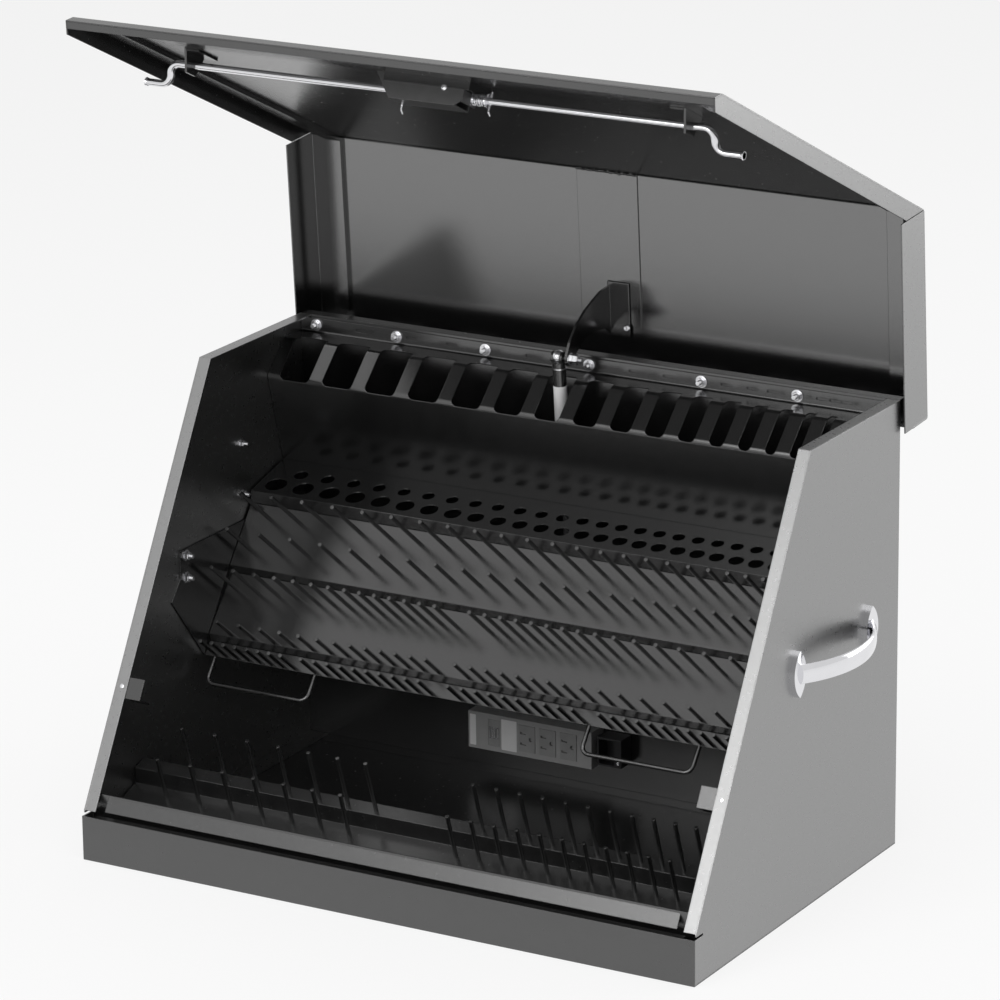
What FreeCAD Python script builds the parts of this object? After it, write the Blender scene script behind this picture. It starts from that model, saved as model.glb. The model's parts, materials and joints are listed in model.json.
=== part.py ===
import FreeCAD
import Part
import Sketcher
import math
import os

# A steel tool workstation: a wedge-shaped cabinet with a fold-over lid held by
# a gas strut, plier rack, hole shelf, peg panels, socket tray, power strip.
# X runs to the right, Y to the back, Z up; the origin is the middle of the base.

os.makedirs("parts", exist_ok=True)
doc = FreeCAD.newDocument("tool_workstation")
sheet = doc.addObject("Spreadsheet::Sheet", "Sizes")
Vector = FreeCAD.Vector
AXIS_X = Vector(1, 0, 0)


# Sizes

class Size:
    """A number together with the spreadsheet expression that gives it."""

    def __init__(self, value, text):
        self.value = value
        self.text = text

    def __add__(self, other):
        other = as_size(other)
        return Size(self.value + other.value, f"({self.text} + {other.text})")

    def __radd__(self, other):
        return as_size(other) + self

    def __sub__(self, other):
        other = as_size(other)
        return Size(self.value - other.value, f"({self.text} - {other.text})")

    def __rsub__(self, other):
        return as_size(other) - self

    def __mul__(self, other):
        other = as_size(other)
        return Size(self.value * other.value, f"({self.text} * {other.text})")

    def __rmul__(self, other):
        return as_size(other) * self

    def __truediv__(self, other):
        other = as_size(other)
        return Size(self.value / other.value, f"({self.text} / {other.text})")

    def __rtruediv__(self, other):
        return as_size(other) / self

    def __neg__(self):
        return 0 - self


def as_size(number):
    """Wrap a plain number so that it can be used in a Size formula."""
    return number if isinstance(number, Size) else Size(float(number), f"({number})")


def root(number):
    return Size(math.sqrt(number.value), f"sqrt({number.text})")


def sine(angle):
    return Size(math.sin(math.radians(angle.value)), f"sin({angle.text})")


def cosine(angle):
    return Size(math.cos(math.radians(angle.value)), f"cos({angle.text})")


def larger(first, second):
    return first if first.value >= second.value else second


def size(alias, number):
    """Write a driving dimension to the sheet and return it as a Size."""
    size.row += 1
    sheet.set(f"A{size.row}", alias)
    sheet.set(f"B{size.row}", str(number))
    sheet.setAlias(f"B{size.row}", alias)
    return Size(number, f"Sizes.{alias}")


size.row = 0

# Cabinet
box_width = size("box_width", 762)
box_depth = size("box_depth", 470)
box_height = size("box_height", 510)
top_depth = size("top_depth", 212)
lip_height = size("lip_height", 51)
lip_hem = size("lip_hem", 9)
wall = size("wall", 1.5)
side_hem = size("side_hem", 15)
foot_flange = size("foot_flange", 27)
back_flange = size("back_flange", 20)

# Lid
lid_gap = size("lid_gap", 4.5)
lid_overhang = size("lid_overhang", 6)
lid_rear_gap = size("lid_rear_gap", 6)
lid_lip = size("lid_lip", 15)
lid_flange = size("lid_flange", 8)
lid_slope_skirt = size("lid_slope_skirt", 21)
lid_top_skirt = size("lid_top_skirt", 55)
lid_rear_skirt = size("lid_rear_skirt", 36)
lid_seam = size("lid_seam", 1)
lid_open_angle = size("lid_open_angle", 86.3)
rest_gap = size("rest_gap", 0.5)
rail_depth = size("rail_depth", 5.5)
rail_width = size("rail_width", 20)
rail_inset = size("rail_inset", 22)
lip_step = size("lip_step", 7.5)
doubler_left = size("doubler_left", 39)
doubler_right = size("doubler_right", 37)
doubler_length = size("doubler_length", 178)

# Hinge
hinge_barrel = size("hinge_barrel", 3)
hinge_leaf = size("hinge_leaf", 1.2)
hinge_leaf_height = size("hinge_leaf_height", 27)
hinge_drop = size("hinge_drop", 32)
hinge_pin_radius = size("hinge_pin_radius", 1.2)
hinge_clearance = size("hinge_clearance", 0.05)
hinge_length = size("hinge_length", 735)
hinge_knuckle_gap = size("hinge_knuckle_gap", 0.4)
channel_width = size("channel_width", 14.5)
channel_height = size("channel_height", 26)

# Rack, shelf and peg panels
rack_top = size("rack_top", 489.1)
rack_flange = size("rack_flange", 18)
rack_ledge = size("rack_ledge", 37.5)
finger_length = size("finger_length", 50.3)
finger_angle = size("finger_angle", 43.5)
finger_slot = size("finger_slot", 33)
finger_pitch = size("finger_pitch", 52.8)
rack_end = size("rack_end", 20)
strut_slot = size("strut_slot", -15.2)
strut_notch = size("strut_notch", 14)
shelf_tilt = size("shelf_tilt", 15)
rack_panel = size("rack_panel", 109)
shelf_depth = size("shelf_depth", 75)
shelf_lip = size("shelf_lip", 14)
shelf_rear_flange = size("shelf_rear_flange", 15)
tier_angle = size("tier_angle", 51.5)
upper_tier = size("upper_tier", 78)
middle_tier = size("middle_tier", 77)
lower_tier = size("lower_tier", 18.5)
tier_lip = size("tier_lip", 8)
tier_flange = size("tier_flange", 6.5)
tier_side_gap = size("tier_side_gap", 2)
peg_radius = size("peg_radius", 2.4)
bracket_reach = size("bracket_reach", 100)

# Socket tray
tray_angle = size("tray_angle", 18.6)
tray_bar_width = size("tray_bar_width", 19.5)
tray_bar_length = size("tray_bar_length", 712)
tray_bar_setback = size("tray_bar_setback", 8)
tray_bar_lift = size("tray_bar_lift", 6)
tray_front_height = size("tray_front_height", 30.5)
tray_floor = size("tray_floor", 85)
tray_riser = size("tray_riser", 17.8)
tray_step = size("tray_step", 19)
tray_side_gap = size("tray_side_gap", 1.5)

# Gas strut
strut_side = size("strut_side", -16)
strut_foot_setback = size("strut_foot_setback", 20.5)
strut_foot_height = size("strut_foot_height", 200)
ball_drop = size("ball_drop", 60)
ball_reach = size("ball_reach", 42.5)
strut_tube_radius = size("strut_tube_radius", 7.5)
strut_rod_radius = size("strut_rod_radius", 4)
strut_tube_length = size("strut_tube_length", 150)
strut_clearance = size("strut_clearance", 0.08)
eye_radius = size("eye_radius", 7)
eye_width = size("eye_width", 14)
stud_radius = size("stud_radius", 4)
stud_end = size("stud_end", 1)
nut_radius = size("nut_radius", 6.5)
nut_height = size("nut_height", 2)
pivot_gap = size("pivot_gap", 0.5)
arm_side = size("arm_side", -3)
arm_thickness = size("arm_thickness", 3)

# Latch
latch_height = size("latch_height", 112)
latch_rod_radius = size("latch_rod_radius", 4)
latch_rod_depth = size("latch_rod_depth", 14)
latch_rod_reach = size("latch_rod_reach", 329)
latch_tip_reach = size("latch_tip_reach", 362)
latch_crank = size("latch_crank", 24.6)
latch_guide_side = size("latch_guide_side", 300)
latch_clearance = size("latch_clearance", 0.08)
catch_low = size("catch_low", 122)
catch_high = size("catch_high", 146)
catch_width = size("catch_width", 33)
catch_hook = size("catch_hook", 21.5)
housing_width = size("housing_width", 124)
housing_height = size("housing_height", 62)
housing_depth = size("housing_depth", 9)
housing_rim = size("housing_rim", 10.5)
housing_rim_height = size("housing_rim_height", 8.5)
housing_wall = size("housing_wall", 3)
rim_thickness = size("rim_thickness", 2)
paddle_gap = size("paddle_gap", 2)
paddle_thickness = size("paddle_thickness", 3)
paddle_pin_radius = size("paddle_pin_radius", 2)
paddle_clearance = size("paddle_clearance", 0.05)

# Handles
handle_front = size("handle_front", 225)
handle_spread = size("handle_spread", 171)
handle_height = size("handle_height", 273.5)
handle_reach = size("handle_reach", 38)
handle_foot_height = size("handle_foot_height", 52)
handle_foot_width = size("handle_foot_width", 27)
handle_foot_depth = size("handle_foot_depth", 6)
grip_height = size("grip_height", 22)
grip_thickness = size("grip_thickness", 9)

# Power strip
strip_left = size("strip_left", -147)
strip_length = size("strip_length", 161)
strip_low = size("strip_low", 32)
strip_height = size("strip_height", 44)
strip_depth = size("strip_depth", 28.5)

# Wire loops
loop_radius = size("loop_radius", 2.5)
loop_drop = size("loop_drop", 32)
loop_corner = size("loop_corner", 10)

# Places worked out from the sizes
half_width = box_width / 2
front = -box_depth / 2
back = box_depth / 2
inner_side = half_width - wall
inner_back = back - wall
slope_run = box_depth - top_depth
slope_rise = box_height - lip_height
slope_length = root(slope_run * slope_run + slope_rise * slope_rise)
slope_cos = slope_run / slope_length
slope_sin = slope_rise / slope_length
slope_tan = slope_rise / slope_run
half_tan = slope_sin / (slope_cos + 1)
slope_angle = Size(math.degrees(math.atan(slope_tan.value)), f"atan({slope_tan.text})")
box_fold = front + slope_run
lid_top = box_height + lid_overhang
lid_fold = box_fold - lid_overhang * half_tan
lid_low = lip_height + rest_gap
lid_corner_z = lid_low + lid_lip
lid_corner_y = lid_fold - (lid_top - lid_corner_z) / slope_tan
lid_half = half_width + lid_gap + wall
lid_back = back + channel_width + lid_rear_gap + wall
hinge_y = back + channel_width + hinge_barrel
hinge_z = box_height - hinge_drop


# Drawing helpers

def bind(thing, path, amount):
    thing.setExpression(path, as_size(amount).text)


class Piece:
    """One sub-part: a PartDesign body whose label is the name of its file."""

    every = []

    def __init__(self, name):
        self.body = doc.addObject("PartDesign::Body", name)
        self.body.Label = name
        self.body.AllowCompound = True
        self.name = name
        self.count = 0
        Piece.every.append(self)

    def add(self, kind, word):
        self.count += 1
        return self.body.newObject(kind, f"{self.name}_{word}_{self.count}")

    def sketch(self, role, start, y=0, z=0, angle=0):
        """An empty sketch on an origin plane, moved along its normal or tilted about X."""
        sketch = self.add("Sketcher::SketchObject", "sketch")
        plane = [item for item in self.body.Origin.OriginFeatures if item.Role == role][0]
        sketch.AttachmentSupport = [(plane, "")]
        sketch.MapMode = "FlatFace"
        turn = FreeCAD.Rotation(AXIS_X, as_size(angle).value or 1e-9)
        sketch.AttachmentOffset = FreeCAD.Placement(Vector(0, 0, 0), turn)
        if as_size(angle).value:
            bind(sketch, "AttachmentOffset.Rotation.Angle", angle)
            bind(sketch, "AttachmentOffset.Base.y", y - start * sine(angle))
            bind(sketch, "AttachmentOffset.Base.z", z + start * cosine(angle))
        else:
            bind(sketch, "AttachmentOffset.Base.z", as_size(start) + z)
        return sketch

    def outline(self, role, start, points, **tilt):
        """A closed outline through points, each held by its two coordinates."""
        sketch = self.sketch(role, start, **tilt)
        points = [(as_size(first), as_size(second)) for first, second in points]
        count = len(points)
        for index in range(count):
            begin = points[index]
            end = points[(index + 1) % count]
            sketch.addGeometry(Part.LineSegment(Vector(begin[0].value, begin[1].value, 0),
                                                Vector(end[0].value, end[1].value, 0)))
        for index in range(count):
            sketch.addConstraint(Sketcher.Constraint("Coincident", index, 2, (index + 1) % count, 1))
        for index, point in enumerate(points):
            pin_point(sketch, index, 1, point)
        return sketch

    def strip(self, role, start, path, thickness, side, **tilt):
        """The section of a bent sheet: a path and its copy one thickness to a side."""
        sketch = self.sketch(role, start, **tilt)
        path = [(as_size(first), as_size(second)) for first, second in path]
        thickness = as_size(thickness)
        shifted = shifted_path([(first.value, second.value) for first, second in path],
                               thickness.value * side)
        runs = len(path) - 1
        for index in range(runs):
            sketch.addGeometry(Part.LineSegment(Vector(path[index][0].value, path[index][1].value, 0),
                                                Vector(path[index + 1][0].value,
                                                       path[index + 1][1].value, 0)))
        for index in range(runs):
            sketch.addGeometry(Part.LineSegment(Vector(*shifted[index], 0),
                                                Vector(*shifted[index + 1], 0)))
        last_cap = 2 * runs
        first_cap = last_cap + 1
        sketch.addGeometry(Part.LineSegment(Vector(path[-1][0].value, path[-1][1].value, 0),
                                            Vector(*shifted[-1], 0)))
        sketch.addGeometry(Part.LineSegment(Vector(path[0][0].value, path[0][1].value, 0),
                                            Vector(*shifted[0], 0)))
        rule = Sketcher.Constraint
        for index in range(runs - 1):
            sketch.addConstraint(rule("Coincident", index, 2, index + 1, 1))
            sketch.addConstraint(rule("Coincident", runs + index, 2, runs + index + 1, 1))
        sketch.addConstraint(rule("Coincident", runs - 1, 2, last_cap, 1))
        sketch.addConstraint(rule("Coincident", 2 * runs - 1, 2, last_cap, 2))
        sketch.addConstraint(rule("Coincident", 0, 1, first_cap, 1))
        sketch.addConstraint(rule("Coincident", runs, 1, first_cap, 2))
        for index in range(runs):
            pin_point(sketch, index, 1, path[index])
        pin_point(sketch, runs - 1, 2, path[-1])
        sketch.addConstraint(rule("Perpendicular", first_cap, 0))
        sketch.addConstraint(rule("Perpendicular", last_cap, runs - 1))
        for index in range(runs):
            if index > 0:
                hold_distance(sketch, runs + index, 1, index - 1, thickness)
            hold_distance(sketch, runs + index, 1, index, thickness)
        hold_distance(sketch, 2 * runs - 1, 2, runs - 1, thickness)
        return sketch

    def circles(self, role, start, circles, **tilt):
        """Circles given as (first, second, radius)."""
        sketch = self.sketch(role, start, **tilt)
        for index, (first, second, radius) in enumerate(circles):
            first = as_size(first)
            second = as_size(second)
            radius = as_size(radius)
            sketch.addGeometry(Part.Circle(Vector(first.value, second.value, 0),
                                           Vector(0, 0, 1), radius.value))
            pin_point(sketch, index, 3, (first, second))
            sketch.addConstraint(Sketcher.Constraint("Radius", index, radius.value))
            bind(sketch, f"Constraints[{sketch.ConstraintCount - 1}]", radius)
        return sketch

    def pad(self, sketch, length):
        pad = self.add("PartDesign::Pad", "pad")
        pad.Profile = sketch
        bind(pad, "Length", length)
        return pad

    def cut(self, sketch, length):
        """Pocket along the sketch's normal, the way a pad would go."""
        before = self.volume()
        pocket = self.add("PartDesign::Pocket", "pocket")
        pocket.Profile = sketch
        pocket.Reversed = True
        bind(pocket, "Length", length)
        if self.volume() >= before:
            raise ValueError(f"a pocket in {self.name} cut nothing")
        return pocket

    def repeat(self, features, length, count):
        """A row of copies of features along X, count in all over a length."""
        pattern = self.add("PartDesign::LinearPattern", "row")
        pattern.Originals = features
        axis = [item for item in self.body.Origin.OriginFeatures if item.Role == "X_Axis"][0]
        pattern.Direction = (axis, [""])
        bind(pattern, "Length", length)
        pattern.Occurrences = count
        self.body.Tip = pattern
        return pattern

    def volume(self):
        doc.recompute()
        return self.body.Shape.Volume

    def seat(self, x, y, z, angle=0):
        """Place the body, tilted about X."""
        self.body.Placement = FreeCAD.Placement(Vector(0, 0, 0),
                                                FreeCAD.Rotation(AXIS_X, as_size(angle).value or 1e-9))
        if as_size(angle).value:
            bind(self.body, "Placement.Rotation.Angle", angle)
        bind(self.body, "Placement.Base.x", x)
        bind(self.body, "Placement.Base.y", y)
        bind(self.body, "Placement.Base.z", z)

    def open_with_lid(self):
        """Swing a piece drawn in the closed lid's place about the hinge pin."""
        swing = -lid_open_angle
        self.seat(0, hinge_y - hinge_y * cosine(swing) + hinge_z * sine(swing),
                  hinge_z - hinge_y * sine(swing) - hinge_z * cosine(swing), swing)


def pin_point(sketch, item, end, point):
    """Hold a sketch point at a place measured from the sketch's origin."""
    for kind, amount in zip(("DistanceX", "DistanceY"), point):
        sketch.addConstraint(Sketcher.Constraint(kind, -1, 1, item, end, amount.value))
        bind(sketch, f"Constraints[{sketch.ConstraintCount - 1}]", amount)


def pin_across(sketch, item, amount):
    """Hold an arc's centre at a distance across from the sketch's origin."""
    sketch.addConstraint(Sketcher.Constraint("DistanceX", -1, 1, item, 3, amount.value))
    bind(sketch, f"Constraints[{sketch.ConstraintCount - 1}]", amount)


def hold_distance(sketch, item, end, line, amount):
    """Hold a sketch point at a distance from a line."""
    sketch.addConstraint(Sketcher.Constraint("Distance", item, end, line, amount.value))
    bind(sketch, f"Constraints[{sketch.ConstraintCount - 1}]", amount)


def shifted_path(points, offset):
    """Move a chain of points sideways by an offset, left of its direction."""
    normals = []
    for (first_y, first_z), (next_y, next_z) in zip(points, points[1:]):
        length = math.hypot(next_y - first_y, next_z - first_z)
        normals.append(((first_z - next_z) / length, (next_y - first_y) / length))
    moved = []
    for index, (y, z) in enumerate(points):
        before = normals[max(index - 1, 0)]
        after = normals[min(index, len(normals) - 1)]
        share = offset / (1 + before[0] * after[0] + before[1] * after[1])
        moved.append((y + (before[0] + after[0]) * share, z + (before[1] + after[1]) * share))
    return moved


def on_side(side, inner, outer):
    """Start and length along X of a slab between two distances from the middle."""
    start = inner if side > 0 else -outer
    return as_size(start), outer - inner


def go(point, distance, angle):
    """The point a distance from another, in a direction measured from +Y towards +Z."""
    return point[0] + distance * cosine(angle), point[1] + distance * sine(angle)


def lid_point(along, depth):
    """A point of the closed lid: along the slope from its front corner, inwards by a depth."""
    return (lid_corner_y + along * slope_cos + depth * slope_sin,
            lid_corner_z + along * slope_sin - depth * slope_cos)


def lid_bend(depth):
    """The lid's fold, on a surface a depth inside its outer one."""
    return lid_fold + depth * half_tan, lid_top - depth


SIDES = {"left": -1, "right": 1}


# Cabinet shell

def make_side_panel(name, side):
    piece = Piece(f"side_panel_{name}")
    corner = (front + wall, lip_height + wall * slope_tan)
    top_corner = (box_fold, box_height)
    start, length = on_side(side, inner_side, half_width)
    web = [(front + wall, wall), corner, top_corner, (back, box_height), (back, wall)]
    piece.pad(piece.outline("YZ_Plane", start, web), length)
    start, length = on_side(side, half_width - side_hem, inner_side)
    hem = [corner, top_corner, (inner_back, box_height)]
    piece.pad(piece.strip("YZ_Plane", start, hem, wall, -1), length)
    start, length = on_side(side, half_width - foot_flange, inner_side)
    foot = [(front + wall, wall), (inner_back, wall)]
    piece.pad(piece.strip("YZ_Plane", start, foot, wall, 1), length)


def make_base_pan():
    piece = Piece("base_pan")
    path = [(back, 0), (front, 0), (front, lip_height)]
    piece.pad(piece.strip("YZ_Plane", -half_width, path, wall, -1), box_width)
    hem = [(front + wall, lip_height), (front + lip_hem, lip_height)]
    inset = half_width - side_hem
    piece.pad(piece.strip("YZ_Plane", -inset, hem, wall, -1), inset * 2)


def make_back_panel():
    piece = Piece("back_panel")
    sheet_outline = [(inner_back, wall), (back, wall), (back, box_height), (inner_back, box_height)]
    piece.pad(piece.outline("YZ_Plane", -inner_side, sheet_outline), inner_side * 2)
    inset = half_width - foot_flange - 1
    flange = [(inner_back, wall), (inner_back - back_flange, wall)]
    piece.pad(piece.strip("YZ_Plane", -inset, flange, wall, -1), inset * 2)


def make_hinge_channel():
    piece = Piece("hinge_channel")
    low = box_height - channel_height
    path = [(back, low), (back, box_height), (back + channel_width, box_height),
            (back + channel_width, low)]
    piece.pad(piece.strip("YZ_Plane", -inner_side, path, wall, -1), inner_side * 2)


# Hinge

KNUCKLES = 15
hinge_pitch = hinge_length / KNUCKLES
knuckle_length = hinge_pitch - hinge_knuckle_gap


def make_hinge_leaf(name, first, inner, outer):
    """A leaf between two Y planes beside the pin, with every second knuckle."""
    piece = Piece(name)
    count = (KNUCKLES - first + 1) // 2
    low = hinge_z + hinge_barrel + hinge_knuckle_gap
    high = hinge_z + hinge_leaf_height
    left = -hinge_length / 2
    plate = [(inner, low), (inner, high), (outer, high), (outer, low)]
    piece.pad(piece.outline("YZ_Plane", left, plate), hinge_length)
    start = left + hinge_pitch * first + hinge_knuckle_gap / 2
    barrel = piece.pad(piece.circles("YZ_Plane", start, [(hinge_y, hinge_z, hinge_barrel)]),
                       knuckle_length)
    tab = [(inner, hinge_z), (inner, low), (outer, low), (outer, hinge_z)]
    web = piece.pad(piece.outline("YZ_Plane", start, tab), knuckle_length)
    piece.repeat([barrel, web], hinge_pitch * (2 * (count - 1)), count)
    bore = piece.circles("YZ_Plane", left, [(hinge_y, hinge_z, hinge_pin_radius + hinge_clearance)])
    piece.cut(bore, hinge_length)
    return piece


def make_hinge():
    near = hinge_y - hinge_barrel
    far = hinge_y + hinge_barrel
    make_hinge_leaf("hinge_leaf_body", 0, near, near + hinge_leaf)
    make_hinge_leaf("hinge_leaf_lid", 1, far - hinge_leaf, far).open_with_lid()
    pin = Piece("hinge_pin")
    circle = pin.circles("YZ_Plane", -hinge_length / 2, [(hinge_y, hinge_z, hinge_pin_radius)])
    pin.pad(circle, hinge_length)


# Lid

def make_lid_shell():
    piece = Piece("lid_shell")
    step = (lid_corner_y, lid_corner_z - lip_step)
    path = [step, (lid_corner_y, lid_corner_z), (lid_fold, lid_top), (lid_back, lid_top),
            (lid_back, lid_top - lid_rear_skirt)]
    piece.pad(piece.strip("YZ_Plane", -lid_half, path, wall, -1), lid_half * 2)
    lip = [(lid_corner_y + lid_flange, lid_low), (lid_corner_y, lid_low), step]
    lip_half = half_width - side_hem - 1
    piece.pad(piece.strip("YZ_Plane", -lip_half, lip, wall, -1), lip_half * 2)
    low_end = lid_point(0, lid_slope_skirt)
    seam = lid_fold - lid_seam / 2
    skirt_low = low_end[1] + (seam - low_end[0]) * slope_tan
    foot_y = low_end[0] - (low_end[1] - lid_low) / slope_tan
    slope_skirt = [(lid_corner_y, lid_low), (lid_corner_y, lid_corner_z),
                   (seam, lid_top - lid_seam / 2 * slope_tan), (seam, skirt_low), (foot_y, lid_low)]
    far_seam = lid_fold + lid_seam / 2
    top_skirt = [(far_seam, lid_top), (lid_back, lid_top), (lid_back, lid_top - lid_top_skirt),
                 (far_seam, lid_top - lid_top_skirt)]
    for side in SIDES.values():
        start, length = on_side(side, lid_half - wall, lid_half)
        piece.pad(piece.outline("YZ_Plane", start, slope_skirt), length)
        piece.pad(piece.outline("YZ_Plane", start, top_skirt), length)
    corner_y, corner_z = lid_point(latch_height, 0)
    opening = piece.outline("XY_Plane", -wall - 1,
                            rectangle(0, 0, housing_width - housing_rim * 2 + rest_gap,
                                      housing_height - housing_rim_height * 2 + rest_gap),
                            y=corner_y, z=corner_z, angle=slope_angle)
    piece.cut(opening, wall + 2)
    piece.open_with_lid()


def rectangle(x, y, width, height):
    """Corners of a rectangle about its middle."""
    return [(x - width / 2, y - height / 2), (x - width / 2, y + height / 2),
            (x + width / 2, y + height / 2), (x + width / 2, y - height / 2)]


def make_lid_seal(name, side):
    """A folded hat rail that follows the lid inside its skirt."""
    piece = Piece(f"lid_seal_{name}")
    outer = lid_half - rail_inset
    inner = outer - rail_width
    thin = wall * 0.8
    first = lid_point(lid_slope_skirt * 1.5, wall)
    path = [first, lid_bend(wall), (lid_back - 30, lid_top - wall)]
    for near, far in ((inner, inner + thin), (outer - thin, outer)):
        start, length = on_side(side, near, far)
        piece.pad(piece.strip("YZ_Plane", start, path, rail_depth, -1), length)
    start, length = on_side(side, inner, outer)
    depth = wall + rail_depth - thin
    crown = [lid_point(lid_slope_skirt * 1.5, depth), lid_bend(depth),
             (lid_back - 30, lid_top - depth)]
    piece.pad(piece.strip("YZ_Plane", start, crown, thin, -1), length)
    piece.open_with_lid()


def make_lid_doubler():
    piece = Piece("lid_doubler")
    start = lid_fold + lid_seam * 3
    path = [(start, lid_top - wall), (start + doubler_length, lid_top - wall)]
    piece.pad(piece.strip("YZ_Plane", -doubler_left, path, wall, -1), doubler_left + doubler_right)
    piece.open_with_lid()


# Plier rack, hole shelf and peg panels

rack_bend = (inner_back - rack_ledge, rack_top)
finger_end = go(rack_bend, -finger_length, finger_angle)
shelf_corner = (finger_end[0] + rack_panel * sine(shelf_tilt),
                finger_end[1] - rack_panel * cosine(shelf_tilt))
shelf_front = go(shelf_corner, -shelf_depth, shelf_tilt)
upper_top = (shelf_front[0] + wall, shelf_front[1] - shelf_lip)
upper_lip = go(upper_top, -upper_tier, tier_angle)
middle_top = (upper_lip[0] + wall, upper_lip[1] - tier_lip)
middle_lip = go(middle_top, -middle_tier, tier_angle)
lower_top = (middle_lip[0] + wall, middle_lip[1] - tier_lip)
lower_end = go(lower_top, -lower_tier, tier_angle)


def make_plier_rack():
    piece = Piece("plier_rack")
    path = [(inner_back, rack_top + rack_flange), (inner_back, rack_top), rack_bend, finger_end,
            shelf_corner]
    half = inner_side - rest_gap
    piece.pad(piece.strip("YZ_Plane", -half, path, wall, -1), half * 2)
    to_the_left = int(((half - rack_end + strut_slot) / finger_pitch).value)
    to_the_right = int(((half - rack_end - strut_slot) / finger_pitch).value)
    first = strut_slot - finger_pitch * to_the_left
    slot = rectangle(first, -finger_length / 2, finger_slot, finger_length)
    cut = piece.cut(piece.outline("XY_Plane", -wall * 6, slot, y=rack_bend[0], z=rack_bend[1],
                                  angle=finger_angle), wall * 12)
    piece.repeat([cut], finger_pitch * (to_the_left + to_the_right), to_the_left + to_the_right + 1)
    notch = rectangle(strut_slot, rack_bend[0] + strut_notch / 2 - wall, finger_slot,
                      strut_notch + wall * 2)
    piece.cut(piece.outline("XY_Plane", rack_top - wall * 2, notch), wall * 4)


def make_driver_shelf():
    piece = Piece("driver_shelf")
    top = (shelf_corner[0] - shelf_rear_flange * sine(shelf_tilt),
           shelf_corner[1] + shelf_rear_flange * cosine(shelf_tilt))
    path = [top, shelf_corner, shelf_front, (shelf_front[0], shelf_front[1] - shelf_lip)]
    half = inner_side - tier_side_gap
    piece.pad(piece.strip("YZ_Plane", -half, path, wall, 1), half * 2)
    holes = []
    x = -half + 22
    pitch = size("large_hole_pitch", 36)
    least = size("small_hole_pitch", 24)
    shrink = size("hole_pitch_step", 0.9)
    radius = size("large_hole_radius", 12.8)
    row_front = size("front_hole_row", 20)
    row_rear = size("rear_hole_row", 46)
    while x.value < half.value - 14:
        holes.append((x, row_front, larger(radius, least * 0.36)))
        holes.append((x + pitch / 2, row_rear, larger(radius * 0.66, least * 0.3)))
        x = x + pitch
        pitch = larger(pitch - shrink, least)
        radius = larger(radius - shrink * 0.45, least * 0.36)
    holes = [hole for hole in holes if hole[0].value < half.value - 12]
    piece.cut(piece.circles("XY_Plane", -wall * 3, holes, y=shelf_front[0], z=shelf_front[1],
                            angle=shelf_tilt), wall * 6)


def make_peg_panel(name, top, length, lip):
    piece = Piece(f"peg_panel_{name}")
    low = go(top, -length, tier_angle)
    path = [(top[0], top[1] + tier_flange), top, low]
    if lip is not None:
        path.append((low[0], low[1] - lip))
    half = inner_side - tier_side_gap
    piece.pad(piece.strip("YZ_Plane", -half, path, wall, 1), half * 2)


def make_pegs(name, foot, angle, places, length, radius):
    """A row of round pegs that stand square on a tilted sheet."""
    piece = Piece(name)
    circles = [(x, 0, radius) for x in places]
    piece.pad(piece.circles("XY_Plane", 0, circles, y=foot[0], z=foot[1], angle=angle), length)


def spaced(first, pitch, step, least, count):
    """Places that start at first; the pitch changes by a step down to a least one."""
    places = [first]
    while len(places) < count:
        places.append(places[-1] + pitch)
        pitch = larger(pitch - step, least)
    return places


def make_all_pegs():
    wide = size("wide_peg_pitch", 42)
    wide_step = size("wide_peg_step", 1.05)
    least_wide = size("least_wide_pitch", 12)
    rows = (("pegs_long", upper_lip, 62.6, 76, -349.4), ("pegs_short", upper_lip, 25, 51.6, -364))
    for name, lip, up, length, first in rows:
        foot = go(lip, size(f"{name}_rise", up), tier_angle)
        places = spaced(size(f"{name}_first", first), wide, wide_step, least_wide, 24)
        make_pegs(name, foot, tier_angle, places, size(f"{name}_length", length), peg_radius)
    pitch = size("socket_peg_pitch", 29)
    step = size("socket_peg_step", 1.35)
    least = size("least_socket_pitch", 19.4)
    growth = size("socket_peg_growth", 1.8)
    rows = (("pegs_deep_socket", 57.6, 64.5, -362.8, -27.4), ("pegs_socket", 3, 42, -347.1, -37.4))
    for name, up, length, first, second in rows:
        foot = go(middle_lip, size(f"{name}_rise", up), tier_angle)
        places = spaced(size(f"{name}_first", first), pitch, step, least, 14)
        if places[-1].value > -70:
            places.pop()
        other = spaced(size(f"{name}_second", second), least, least * 0, least, 8)
        wider = least
        while other[-1].value < 300:
            wider = wider + growth
            other.append(other[-1] + wider)
        make_pegs(name, foot, tier_angle, places + other, size(f"{name}_length", length), peg_radius)
    close = (("a", -363.3, 8, 15.1), ("b", -231, 10, 16.9), ("c", -41.5, 10, 17.3), ("d", 147.3, 14, 15.6))
    places = []
    for word, first, count, pitch in close:
        first = size(f"bit_group_{word}", first)
        pitch = size(f"bit_pitch_{word}", pitch)
        places += spaced(first, pitch, pitch * 0, pitch, count)
    foot = go(lower_end, size("pegs_bit_rise", 3), tier_angle)
    make_pegs("pegs_bit", foot, tier_angle, places, size("pegs_bit_length", 41), peg_radius)


def make_tier_bracket(name, side):
    piece = Piece(f"tier_bracket_{name}")
    start, length = on_side(side, inner_side - wall, inner_side)
    nose = upper_lip[0] - bracket_reach
    top = upper_lip[1] + 44
    outline = [(nose, top), (nose, top - 32), (nose - 19, top - 55), lower_end,
               middle_lip, upper_lip, (upper_lip[0] + 44 / tier_tan, top)]
    piece.pad(piece.outline("YZ_Plane", start, outline), length)


tier_tan = sine(tier_angle) / cosine(tier_angle)


# Socket tray

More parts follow.
